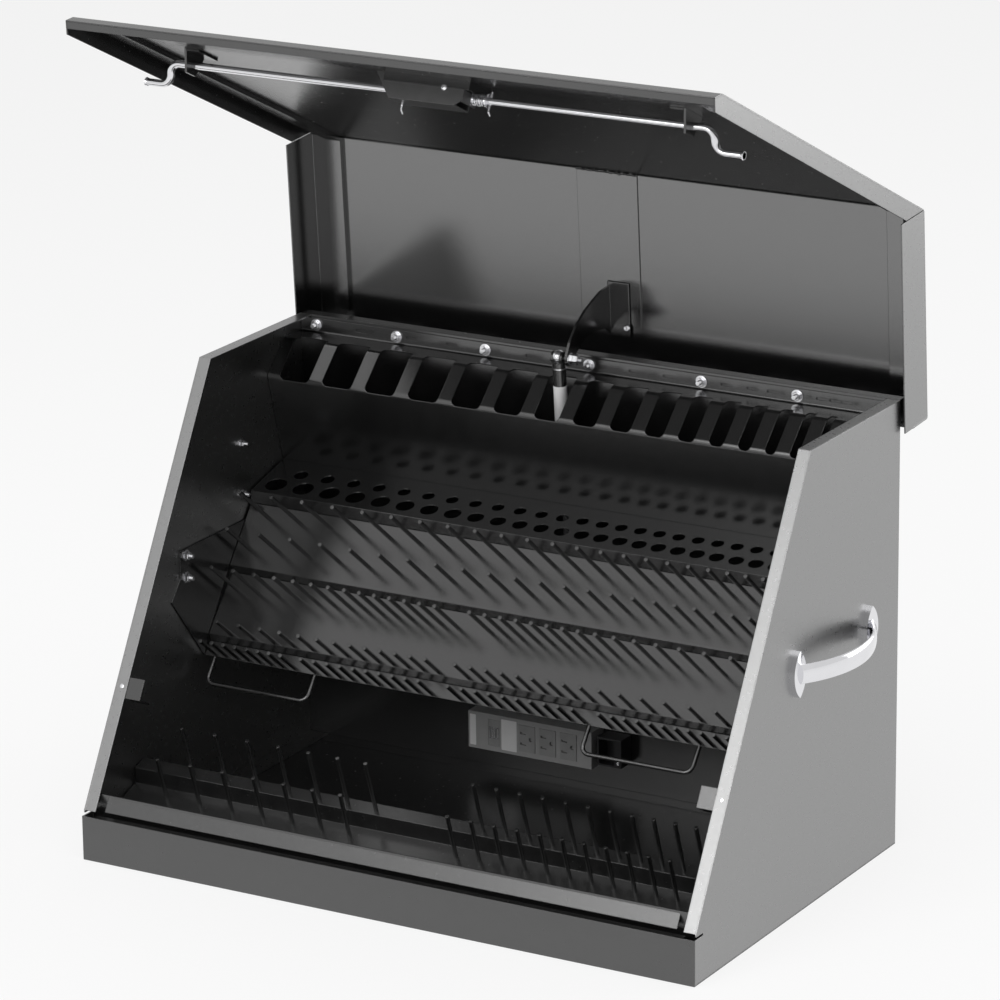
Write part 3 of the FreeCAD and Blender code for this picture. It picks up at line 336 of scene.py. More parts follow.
    def nut(self, place: tuple, way: tuple, across: float = 5.6, proud: float = 5.0) -> None:
        """Add a washer, a hexagon nut and the end of its threaded stud.

        Args:
            place: Where the washer lies on its sheet.
            way: The unit direction that the stud points in.
            across: The nut's radius to its corners.
            proud: How far the stud stands out of the nut.
        """
        place = Vector(place)
        way = Vector(way)
        self.bar(place, place + way * 1.0, across * 1.25)
        self.bar(place + way * 1.0, place + way * 1.4, across * 0.9, across, sides=6)
        self.bar(place + way * 1.4, place + way * 4.9, across, sides=6)
        self.bar(place + way * 4.9, place + way * 5.4, across, across * 0.86, sides=6)
        core = across * 0.52
        rings = max(int(proud / 0.8), 1)
        for ring in range(rings):
            at = place + way * (5.3 + ring * 0.8)
            self.bar(at, at + way * 0.45, core * 0.82, core, sides=16)
            self.bar(at + way * 0.45, at + way * 0.85, core, core * 0.82, sides=16)

    def screw(self, place: tuple, way: tuple, radius: float = 4.0) -> None:
        """Add a low round screw head with a rim."""
        place = Vector(place)
        way = Vector(way)
        self.bar(place, place + way * 0.8, radius)
        self.bar(place + way * 0.8, place + way * 1.8, radius, radius * 0.72)
        self.bar(place + way * 1.8, place + way * 2.2, radius * 0.72, radius * 0.3)

    def wire(self, corners: list, bend: float, radius: float, closed: bool = False) -> None:
        """Add a round wire with smooth bends.

        Args:
            corners: The corners and ends that its middle line aims at.
            bend: How far before a corner each bend begins.
            radius: The wire's radius.
            closed: Whether its ends meet.
        """
        curve = bpy.data.curves.new(self.name, "CURVE")
        curve.dimensions = "3D"
        curve.bevel_depth = radius
        curve.bevel_resolution = 5
        curve.use_fill_caps = True
        curve.resolution_u = 8
        line = curve.splines.new("BEZIER")
        corners = [Vector(corner) for corner in corners]
        places = []
        for index, corner in enumerate(corners):
            if not closed and index in (0, len(corners) - 1):
                places.append((corner, corner))
                continue
            before = (corners[index - 1] - corner).normalized()
            after = (corners[(index + 1) % len(corners)] - corner).normalized()
            places.append((corner + before * bend, corner))
            places.append((corner + after * bend, corner))
        line.bezier_points.add(len(places) - 1)
        for point, (place, corner) in zip(line.bezier_points, places):
            point.co = place
            point.handle_left_type = point.handle_right_type = "FREE"
            point.handle_left = point.handle_right = place
        for index in range(len(places) - 1):
            (place, corner), (further, same) = places[index], places[index + 1]
            if corner == same and place != corner:
                line.bezier_points[index].handle_right = place.lerp(corner, 0.55)
                line.bezier_points[index + 1].handle_left = further.lerp(corner, 0.55)
        line.use_cyclic_u = closed
        self.take(curve)

    def take(self, curve: bpy.types.Curve) -> None:
        """Turn a curve into mesh and add it."""
        holder = bpy.data.objects.new(self.name, curve)
        mesh = bpy.data.meshes.new_from_object(holder)
        self.mesh.from_mesh(mesh)
        bpy.data.objects.remove(holder)
        bpy.data.meshes.remove(mesh)
        bpy.data.curves.remove(curve)

    def coil(self, start: tuple, way: tuple, length: float, turns: int, radius: float,
             thick: float) -> None:
        """Add a helical spring along a direction."""
        curve = bpy.data.curves.new(self.name, "CURVE")
        curve.dimensions = "3D"
        curve.bevel_depth = thick
        curve.bevel_resolution = 2
        curve.use_fill_caps = True
        line = curve.splines.new("POLY")
        count = turns * 18
        line.points.add(count)
        frame_turn = Vector(way).to_track_quat("Z", "Y").to_matrix()
        for index, point in enumerate(line.points):
            angle = index / 18 * math.tau
            local = Vector((math.cos(angle) * radius, math.sin(angle) * radius, length * index / count))
            point.co = (*(Vector(start) + frame_turn @ local), 1.0)
        self.take(curve)

    def finish(self, material: bpy.types.Material, body: str, replaces: tuple = (),
               place: Matrix | None = None, smooth: float = 30.0) -> bpy.types.Object:
        """Make the object, dress it and let it ride.

        Args:
            material: Its finish.
            body: The CAD body that it rides on.
            replaces: The CAD nodes that it stands for.
            place: A last transform in millimetres.
            smooth: Edges flatter than this many degrees are shaded smooth.

        Returns:
            The finished object.
        """
        thing = self.make_object(place or Matrix.Identity(4))
        mesh = thing.data
        mesh.materials.clear()
        mesh.materials.append(material)
        mesh.polygons.foreach_set("use_smooth", [True] * len(mesh.polygons))
        mesh.set_sharp_from_angle(angle=math.radians(smooth))
        normals = thing.modifiers.new("weighted normals", "WEIGHTED_NORMAL")
        normals.keep_sharp = True
        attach(thing, body)
        if replaces:
            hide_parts(*replaces)
        log.info("piece: %s, %d faces", self.name, len(mesh.polygons))
        return thing

    def make_object(self, place: Matrix) -> bpy.types.Object:
        """Turn the mesh into an object in metres, faces outwards."""
        bmesh.ops.recalc_face_normals(self.mesh, faces=self.mesh.faces)
        matrix = Matrix.Scale(MM, 4) @ place
        bmesh.ops.transform(self.mesh, matrix=matrix, verts=self.mesh.verts)
        mesh = bpy.data.meshes.new(self.name)
        self.mesh.to_mesh(mesh)
        self.mesh.free()
        thing = bpy.data.objects.new(self.name, mesh)
        bpy.context.scene.collection.objects.link(thing)
        return thing


@dataclass(frozen=True)
class PowderCoat:
    """Black powder coat: a fine orange peel over sheet steel."""

    look: Coat
    dark: float = 0.008
    light: float = 0.016
    low_roughness: float = 0.2
    high_roughness: float = 0.3
    peel: float = 900.0
    peel_height: float = 0.00005
    index: float = 2.0
    edge: float = 0.0012

    def build(self) -> bpy.types.Material:
        """Make the material."""
        sheet = NodeSheet(f"powder_coat_{self.look.value}")
        sheet.tint(60, (self.dark,) * 3, (self.light,) * 3)
        sheet.roughen(220, self.low_roughness, self.high_roughness)
        sheet.relief(self.peel, self.peel_height, edge=self.edge)
        sheet.set(IOR=self.index)
        return sheet.material


@dataclass(frozen=True)
class BareMetal:
    """Plated or polished metal."""

    name: str
    tone: tuple = (0.8, 0.8, 0.82)
    low_roughness: float = 0.05
    high_roughness: float = 0.12
    grain: float = 300.0
    grain_height: float = 0.00001
    stretch: tuple = (1, 1, 1)

    def build(self) -> bpy.types.Material:
        """Make the material."""
        sheet = NodeSheet(self.name)
        dark = tuple(channel * 0.92 for channel in self.tone)
        sheet.tint(45, dark, self.tone)
        sheet.roughen(self.grain, self.low_roughness, self.high_roughness, stretch=self.stretch)
        sheet.relief(self.grain * 2, self.grain_height, stretch=self.stretch)
        sheet.set(Metallic=1.0)
        return sheet.material


@dataclass(frozen=True)
class MouldedPlastic:
    """Plastic with a fine moulded texture."""

    name: str
    dark: tuple = (0.012, 0.012, 0.013)
    light: tuple = (0.02, 0.02, 0.022)
    low_roughness: float = 0.35
    high_roughness: float = 0.5
    grain: float = 1400.0
    grain_height: float = 0.00004

    def build(self) -> bpy.types.Material:
        """Make the material."""
        sheet = NodeSheet(self.name)
        sheet.tint(80, self.dark, self.light)
        sheet.roughen(200, self.low_roughness, self.high_roughness)
        sheet.relief(self.grain, self.grain_height)
        return sheet.material


@dataclass(frozen=True)
class Folds:
    """The cabinet's and lid's folds, in millimetres, with the lid closed."""

    sheet: float = 1.5
    half_width: float = 381.0
    inner_back: float = 233.5
    corner: tuple = (-233.17, 66.5)
    fold: tuple = (19.49, 516.0)
    lid_back: float = 257.0
    lid_low: float = 51.5
    lid_half: float = 387.0
    slope: float = 60.66
    latch_along: float = 112.0

    def on_lid(self, along: float, depth: float) -> tuple:
        """A point of the closed lid: along its slope, inwards by a depth."""
        turn = math.radians(self.slope)
        return (self.corner[0] + along * math.cos(turn) + depth * math.sin(turn),
                self.corner[1] + along * math.sin(turn) - depth * math.cos(turn))

    def opened(self) -> Matrix:
        """The move from the closed lid's place to where it stands open."""
        hinge = next(joint for joint in frame["record"]["behaviour"]["joints"]
                     if joint["name"] == "lid_hinge")
        pin = Vector(hinge["pos_m"]) / MM
        turn = Matrix.Rotation(-math.radians(hinge["range_deg"][1] if "range_deg" in hinge else 86.3), 4, "X")
        return Matrix.Translation(pin) @ turn @ Matrix.Translation(-pin)

    def on_slope(self) -> Matrix:
        """The latch's place: X across, Y up the slope, Z out of the lid's inner face."""
        at = self.on_lid(self.latch_along, self.sheet)
        lean = Matrix.Rotation(math.radians(self.slope), 4, "X")
        return self.opened() @ Matrix.Translation((0, *at)) @ lean


@dataclass
class Lid:
    """The folded lid, its stay arm, latch rod and the small things on them."""

    folds: Folds
    finishes: dict
    bend: float = 2.5
    flange: float = 9.2
    skirt: float = 55.0
    slope_skirt: float = 21.0
    rear_skirt: float = 36.0
    lip_half: float = 385.4
    rod_radius: float = 4.0
    rod_depth: float = 15.5
    rod_reach: float = 329.0
    rod_tip: float = 362.0
    rod_crank: float = 24.6

    def build(self) -> None:
        """Build every piece of the lid."""
        self.make_shell()
        self.make_arm()
        self.make_rod()
        self.make_case()
        self.make_fixings()
        self.make_bead()

    def make_shell(self) -> None:
        """The lid's sheet with its lip, flange and skirts."""
        folds = self.folds
        lid = Forge("lid_sheet")
        thick = folds.sheet
        half = folds.lid_half
        corner, fold, back = folds.corner, folds.fold, folds.lid_back
        path = [(corner[0], folds.lid_low), corner, fold, (back, fold[1]),
                (back, fold[1] - self.rear_skirt)]
        lid.sheet(path, -half + 0.1, half * 2 - 0.2, -thick, self.bend)
        turn = math.radians(folds.slope)
        hole = Forge("hole")
        hole.block((-51.8, -22.8, -6), (51.8, 22.8, 6), 3, 3, "z")
        at = folds.on_lid(folds.latch_along, 0)
        lean = Matrix.Translation((0, *at)) @ Matrix.Rotation(turn, 4, "X")
        bmesh.ops.transform(hole.mesh, matrix=lean, verts=hole.mesh.verts)
        lid.cut([hole])
        lid.block((-self.lip_half, corner[0] + 1.0, folds.lid_low),
                  (self.lip_half, corner[0] + self.flange, folds.lid_low + thick), 0.3)
        low = folds.on_lid(0, self.slope_skirt)
        seam = fold[0] - 0.5
        rise = low[1] + (seam - low[0]) * math.tan(turn)
        foot = low[0] - (low[1] - folds.lid_low) / math.tan(turn)
        inset = folds.on_lid(0, 0.7)
        slope = [(corner[0] + 0.7, folds.lid_low), (corner[0] + 0.7, corner[1] - 0.3),
                 (seam, inset[1] + (seam - inset[0]) * math.tan(turn)), (seam, rise),
                 (foot, folds.lid_low)]
        top = [(fold[0] + 0.5, fold[1] - 0.7), (back - 0.7, fold[1] - 0.7),
               (back - 0.7, fold[1] - self.skirt), (fold[0] + 0.5, fold[1] - self.skirt)]
        for start in (-half, half - thick):
            lid.outline(slope, start, thick)
            lid.outline(top, start, thick)
        shell = lid.finish(self.finishes["lid"], "lid", ("lid_shell",), folds.opened())
        shell.data.materials.append(self.finishes["outside"])
        shell.data.materials.append(self.finishes["front"])
        slope_end = (folds.opened() @ Vector((0, *fold))).z * MM - 0.012
        for face in shell.data.polygons:
            if abs(face.center.x) > (half - 0.5) * MM:
                face.material_index = 1
            elif face.normal.y < -0.9 and face.center.z > slope_end + 0.1:
                face.material_index = 2
            elif face.center.z > slope_end:
                face.material_index = 2

    def make_arm(self) -> None:
        """The curved plate that carries the strut's upper stud."""
        arm = Forge("stay_arm")
        under = 513.0
        ball = (210.0, 418.0)
        drop = under - ball[1]
        web = [(154.0, under), (154.0, ball[1] + drop * 0.81), (158.5, 478.0), (165.0, 458.0),
               (176.4, ball[1] + drop * 0.18), (190.0, 420.0), (205.5, 410.2), (215.0, 410.5),
               (219.0, 418.0), (217.5, 424.0), (208.0, 432.0), (197.1, 452.2), (195.5, 476.0),
               (200.0, 500.0), (210.0, under)]
        arm.outline(web, -4.5, 3.0, 3.0, 3)
        arm.block((-4.5, 148.0, under - 2), (23.5, 213.0, under), 1.2, 3)
        arm.bar((-10.0, *ball), (-4.5, *ball), 3.6)
        arm.finish(self.finishes["inside"], "lid", ("strut_arm",), self.folds.opened())
        nuts = Forge("stay_nuts")
        nuts.bar((-1.5, *ball), (-0.7, *ball), 7.2)
        nuts.bar((-0.7, *ball), (3.6, *ball), 6.4, sides=6)
        nuts.bar((3.9, *ball), (8.2, *ball), 6.2, sides=6)
        nuts.bar((8.2, *ball), (9.0, *ball), 6.2, 4.8, sides=6)
        for ring in range(5):
            at = 9.0 + ring * 0.9
            nuts.bar((at, *ball), (at + 0.5, *ball), 2.7, 3.2, sides=16)
            nuts.bar((at + 0.5, *ball), (at + 0.95, *ball), 3.2, 2.7, sides=16)
        nuts.finish(self.finishes["bright"], "lid", (), self.folds.opened())

    def make_rod(self) -> None:
        """The latch rod: cranked towards the cabinet at each end, heads on its tips."""
        rod = Forge("latch_bar")
        near, height = self.folds.on_lid(self.folds.latch_along, self.rod_depth)
        far = near + self.rod_crank
        rod.wire([(-self.rod_tip, far, height), (-self.rod_reach, far, height),
                  (-self.rod_reach, near, height), (self.rod_reach, near, height),
                  (self.rod_reach, far, height), (self.rod_tip, far, height)], 12.0, self.rod_radius)
        for side in (-1, 1):
            tip = side * self.rod_tip
            rod.bar((tip - side * 3.0, far, height), (tip - side * 0.8, far, height), 4.4, 5.0)
            rod.bar((tip - side * 0.8, far, height), (tip, far, height), 5.0, 4.4)
        rod.finish(self.finishes["rod"], "latch", ("latch_rod",), self.folds.opened())

    def make_case(self) -> None:
        """The folded channel round the rod behind the latch."""
        case = Forge("latch_channel")
        wall = [(9.0, 0.0), (9.0, 1.0)]
        front = [(-62, 0), (46, 0), (46, 20), (38, 26), (-42, 26)]
        corners = [case.mesh.verts.new((x, -22.0, -depth)) for x, depth in front]
        face = case.mesh.faces.new(corners)
        out = bmesh.ops.extrude_face_region(case.mesh, geom=[face])["geom"]
        bmesh.ops.translate(case.mesh, vec=(0, 1.8, 0),
                            verts=[item for item in out if isinstance(item, bmesh.types.BMVert)])
        case.block((-42, -22, -27.0), (38, 10, -25.2), 0.7)
        case.block((44.2, -20.2, -22), (46, 9, -9), 0.5)
        case.block((-42, 8.4, -26.0), (38, 10.2, -9), 0.5)
        hole = Forge("rod_hole")
        hole.bar((40, 0, -14), (50, 0, -14), 4.6)
        case.cut([hole])
        case.finish(self.finishes["case"], "lid", (), self.folds.on_slope())
        spring = Forge("latch_spring")
        spring.coil((47, 0, -14), (1, 0, 0), 17, 6, 6.4, 0.8)
        spring.bar((46.2, 0, -14), (47.2, 0, -14), 8.0)
        spring.bar((64, 0, -14), (65, 0, -14), 8.0)
        spring.screw((22, -22, -9), (0, -1, 0), 3.6)
        for x in (-36, 67):
            spring.bar((x, 0, -4 if x > 0 else -20), (x, 0, -25 if x > 0 else -34), 1.3, sides=10)
            spring.bar((x, 0, -25 if x > 0 else -34), (x + 2, 2, -29 if x > 0 else -38), 1.2, 0.8, sides=10)
        spring.finish(self.finishes["bright"], "lid", (), self.folds.on_slope())

    def make_fixings(self) -> None:
        """Screws on the lid's inner face by the arm, at the open lid's place."""
        dots = Forge("lid_screws")
        for x, height in ((20.1, 592.6), (-24.7, 592.2), (20.2, 532.2)):
            dots.screw((x, 284.0 + (height - 592) * 0.065, height), (0, -1, 0.06), 4.2)
        dots.finish(self.finishes["bright"], "lid")

    def make_bead(self) -> None:
        """The rough weld bead along the doubler's upper edge."""
        bead = Forge("weld_bead")
        for index in range(22):
            wander = math.sin(index * 2.4) * 0.8
            size = 2.1 + math.sin(index * 1.7 + 0.6) * 0.6
            bead.ball((-38 + index * 3.55, 273.4 + wander * 0.3, 711.0 + wander), size, 0.7)
        bead.finish(self.finishes["inside"], "lid")


@dataclass
class SidePanels:
    """The two side panels with their hems, relieved where the lid's lip comes down."""

    folds: Folds
    finishes: dict
    front: float = -233.5
    lip: float = 51.0
    top: float = 510.0
    back: float = 235.0
    bend: float = 23.0
    hem: float = 15.0
    foot: float = 27.0
    relief: float = 17.5

    def build(self) -> None:
        """Build both panels."""
        for word, side in (("left", -1), ("right", 1)):
            self.make_panel(word, side)

    def make_panel(self, word: str, side: int) -> None:
        """One panel: its web, the hem along its slope and top, and its foot flange.

        Args:
            word: Which side it is on.
            side: Minus one on the left, one on the right.
        """
        thick = self.folds.sheet
        rise = math.tan(math.radians(self.folds.slope))
        start = (self.front + 2.6, self.lip + 1.2 + 2.6 * rise)
        shelf = self.front + self.relief
        web = [(self.front, thick), (self.front, self.lip), (shelf, self.lip), (shelf, self.lip + 2.8),
               (start[0], self.lip + 2.8), start, (self.bend, self.top), (self.back, self.top),
               (self.back, thick)]
        panel = Forge(f"panel_{word}")
        half = self.folds.half_width
        panel.outline(web, *((half - thick, thick) if side > 0 else (-half, thick)))
        low, length = sorted((side * (half - thick), side * (half - self.hem)))[0], self.hem - thick
        panel.sheet([start, (self.bend, self.top), (self.folds.inner_back, self.top)], low, length,
                    -thick)
        low = sorted((side * (half - thick), side * (half - self.foot)))[0]
        panel.block((low, self.front, thick), (low + self.foot - thick, self.folds.inner_back, thick * 2), 0.3)
        panel.finish(self.finishes["outside"], "cabinet", (f"side_panel_{word}",))


@dataclass
class Rack:
    """The slotted plier rack with its fixings."""

    folds: Folds
    finishes: dict
    top: float = 489.1
    flange: float = 18.0
    ledge: float = 37.5
    slope_length: float = 50.3
    slope_angle: float = 43.5
    panel: float = 109.0
    tilt: float = 15.0
    bend: float = 3.5
    finger: float = 17.0
    end: float = 379.0
    rounding: float = 6.0
    fingers: tuple = (-372.0, -315.6, -259.1, -202.6, -146.1, -91.6, -39.8, 9.4, 55.8, 99.4,
                      140.4, 178.7, 214.3, 247.2, 277.4, 304.9, 329.7, 351.8)
    bolts: tuple = (-358.0, -251.0, -134.5, -1.0, 140.0, 258.0)
    slits: tuple = (-299.0, -232.0, -179.0, -76.0, -25.0, 14.0, 56.0, 99.0, 171.0, 203.0, 228.0,
                    288.0, 304.0, 318.0)

    def build(self) -> None:
        """Build the rack and its bolts."""
        lean = math.radians(self.slope_angle)
        tilt = math.radians(self.tilt)
        bend = (self.folds.inner_back - self.ledge, self.top)
        foot = (bend[0] - self.slope_length * math.cos(lean), bend[1] - self.slope_length * math.sin(lean))
        low = (foot[0] + self.panel * math.sin(tilt), foot[1] - self.panel * math.cos(tilt))
        back = self.folds.inner_back
        rack = Forge("slotted_rack")
        rack.sheet([(back, self.top + self.flange), (back, self.top), bend, foot, low],
                   -self.end, self.end * 2, -self.folds.sheet, self.bend)
        place = Matrix.Translation((0, *bend)) @ Matrix.Rotation(lean, 4, "X")
        cutters = []
        for left, right in zip(self.fingers, self.fingers[1:]):
            slot = Forge("slot")
            room = right - left - self.finger
            slot.block((left + self.finger / 2, -self.slope_length - 2.0, -12),
                       (right - self.finger / 2, 8.7, 9), min(self.rounding, room * 0.4), 5, "z")
            bmesh.ops.transform(slot.mesh, matrix=place, verts=slot.mesh.verts)
            cutters.append(slot)
        for x in self.slits:
            slit = Forge("slit")
            slit.block((x - 7, back - 4, 497.4), (x + 7, back + 1, 500.6), 1.4, 3, "y")
            cutters.append(slit)
        rack.cut(cutters)
        rack.finish(self.finishes["inside"], "cabinet", ("plier_rack",))
        bolts = Forge("rack_bolts")
        for x in self.bolts:
            bolts.nut((x, back - self.folds.sheet, 499.0), (0, -1, 0), 5.6, 4.5)
        bolts.finish(self.finishes["bright"], "cabinet")


@dataclass
class Cabinetwork:
    """Small fixings inside the cabinet: wall bolts, catch screws and tray pads."""

    folds: Folds
    finishes: dict
    wall: float = 379.5
    proud: float = 5.0

    def build(self) -> None:
        """Build the fixings."""
        bolts = Forge("wall_bolts")
        for y, z in ((-20.5, 291.2), (-21.2, 265.5)):
            bolts.nut((-self.wall + 1.5, y, z), (1, 0, 0), 5.2, self.proud)
        for y, z in ((100.0, 330.0), (100.0, 390.0)):
            bolts.nut((-self.wall, y, z), (1, 0, 0), 4.0, self.proud)
        bolts.nut((-self.wall, -112.7, 54.5), (1, 0, 0), 4.0, self.proud)
        bolts.finish(self.finishes["bright"], "cabinet")
        screws = Forge("catch_screws")
        lean = math.radians(self.folds.slope)
        out = Vector((0, -math.sin(lean), math.cos(lean)))
        for side in (-1, 1):
            for y, z in ((-157.6, 178.7), (-166.4, 161.8)):
                screws.screw((side * 373.0, y - 2.2, z + 1.2), out, 3.8)
        screws.finish(self.finishes["bright"], "cabinet")


@dataclass
class PowerStrip:
    """The power strip's front: outlets, charging ports, labels and end cover."""

    finishes: dict
    face: float = 205.0
    low: float = 32.0
    high: float = 76.0

    def build(self) -> None:
        """Build every piece of the strip."""
        for number in (1, 2, 3):
            self.make_outlet(number)
        self.make_ports()
        self.make_labels()
        self.make_cover()

    def make_outlet(self, number: int) -> None:
        """An outlet face with two blade slots and an earth hole."""
        low, high = (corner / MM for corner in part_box(f"strip_outlet_{number}"))
        middle = (low + high) / 2
        outlet = Forge(f"outlet_face_{number}")
        outlet.block((low.x, low.y - 1.4, low.z), (high.x, high.y, high.z), 0.8, 2)
        cutters = []
        for lift in (-6.5, 6.5):
            slot = Forge("slot")
            slot.block((middle.x - 8.5, low.y - 3, middle.z + lift - 1.4),
                       (middle.x - 1.0, low.y + 1.6, middle.z + lift + 1.4))
            cutters.append(slot)
        earth = Forge("earth")
        earth.bar((middle.x + 5.5, low.y - 3, middle.z), (middle.x + 5.5, low.y + 1.6, middle.z), 2.6)
        outlet.cut([*cutters, earth])
        outlet.finish(self.finishes["outlet"], "cabinet", (f"strip_outlet_{number}",))

    def make_ports(self) -> None:
        """Two charging ports side by side in their plate."""
        low, high = (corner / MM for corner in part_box("strip_usb"))
        plate = Forge("port_plate")
        plate.block((low.x, low.y - 0.6, low.z), (high.x, high.y, high.z), 0.6, 2)
        shells = Forge("port_shells")
        middle = (low + high) / 2
        for shift in (-3.6, 3.6):
            x = middle.x + shift
            pocket = Forge("pocket")
            pocket.block((x - 2.6, low.y - 3, middle.z - 7), (x + 2.6, low.y + 1.6, middle.z + 7))
            plate.cut([pocket])
            shells.block((x - 2.6, low.y - 1.0, middle.z - 7), (x - 1.7, low.y + 1.6, middle.z + 7))
            shells.block((x + 1.7, low.y - 1.0, middle.z - 7), (x + 2.6, low.y + 1.6, middle.z + 7))
            shells.block((x - 2.6, low.y - 1.0, middle.z + 6.2), (x + 2.6, low.y + 1.6, middle.z + 7))
            shells.block((x - 2.6, low.y - 1.0, middle.z - 7), (x + 2.6, low.y + 1.6, middle.z - 6.2))
        plate.finish(self.finishes["outlet"], "cabinet", ("strip_usb",))
        shells.finish(self.finishes["bright"], "cabinet")

    def make_labels(self) -> None:
        """Two bare labels on the strip's face."""
        labels = Forge("strip_labels")
        for left, right in ((-145.0, -137.0), (-103.5, -83.5)):
            labels.block((left, self.face - 0.25, self.low + 3.5), (right, self.face + 0.05, self.high - 3.5),
                         0.8, 2, "y")
        labels.finish(self.finishes["label"], "cabinet")

    def make_cover(self) -> None:
        """The box beside the strip's right end that takes its lead."""
        cover = Forge("lead_cover")
        cover.block((18, 209.5, 37), (50, 233.5, 71), 1.0, 2)
        hollow = Forge("hollow")
        hollow.block((21, 205.0, 39.5), (41, 230.0, 68.5), 1.0, 2)
        cover.cut([hollow])
        cover.finish(self.finishes["cover"], "cabinet")
        fixing = Forge("cover_screw")
        fixing.screw((46, 209.5, 43), (0, -1, 0), 2.6)
        fixing.finish(self.finishes["bright"], "cabinet")


@dataclass
class Strut:
    """What shows on the gas strut: its bare label and ball socket cap."""

    finishes: dict
    radius: float = 7.5

    def build(self) -> None:
        """Build the label and the cap."""
        label = Forge("strut_label")
        label.bar(self.on_axis(443), self.on_axis(484), self.radius + 0.15, sides=32)
        behind = Forge("behind")
        behind.block((-40, self.on_axis(463)[1] + 2.0, 430), (10, 240, 500))
        corner = Forge("corner")
        corner.block((-6, 150, -16), (16, 240, 16))
        lean = Matrix.Translation((-8.5, 0, 440)) @ Matrix.Rotation(math.radians(32), 4, "Y")
        bmesh.ops.transform(corner.mesh, matrix=lean, verts=corner.mesh.verts)
        bore = Forge("bore")
        bore.bar(self.on_axis(438), self.on_axis(489), self.radius + 0.03, sides=32)
        label.cut([behind, corner, bore])
        label.finish(self.finishes["label"], "strut_tube")
        cap = Forge("strut_cap")
        top = self.on_axis(517)
        cap.ball(top, self.radius + 0.4)
        cap.bar(self.on_axis(505), self.on_axis(511), 5.6, 6.4)
        cap.bar(self.on_axis(503.5), self.on_axis(505), 7.9)
        cap.finish(self.finishes["bright"], "strut_tube")

    @staticmethod
    def on_axis(height: float) -> tuple:
        """A point of the strut's middle line at a height, as it stands at rest."""
        return (-16.0, 213.0 - 0.07303 * (height - 200.0), height)


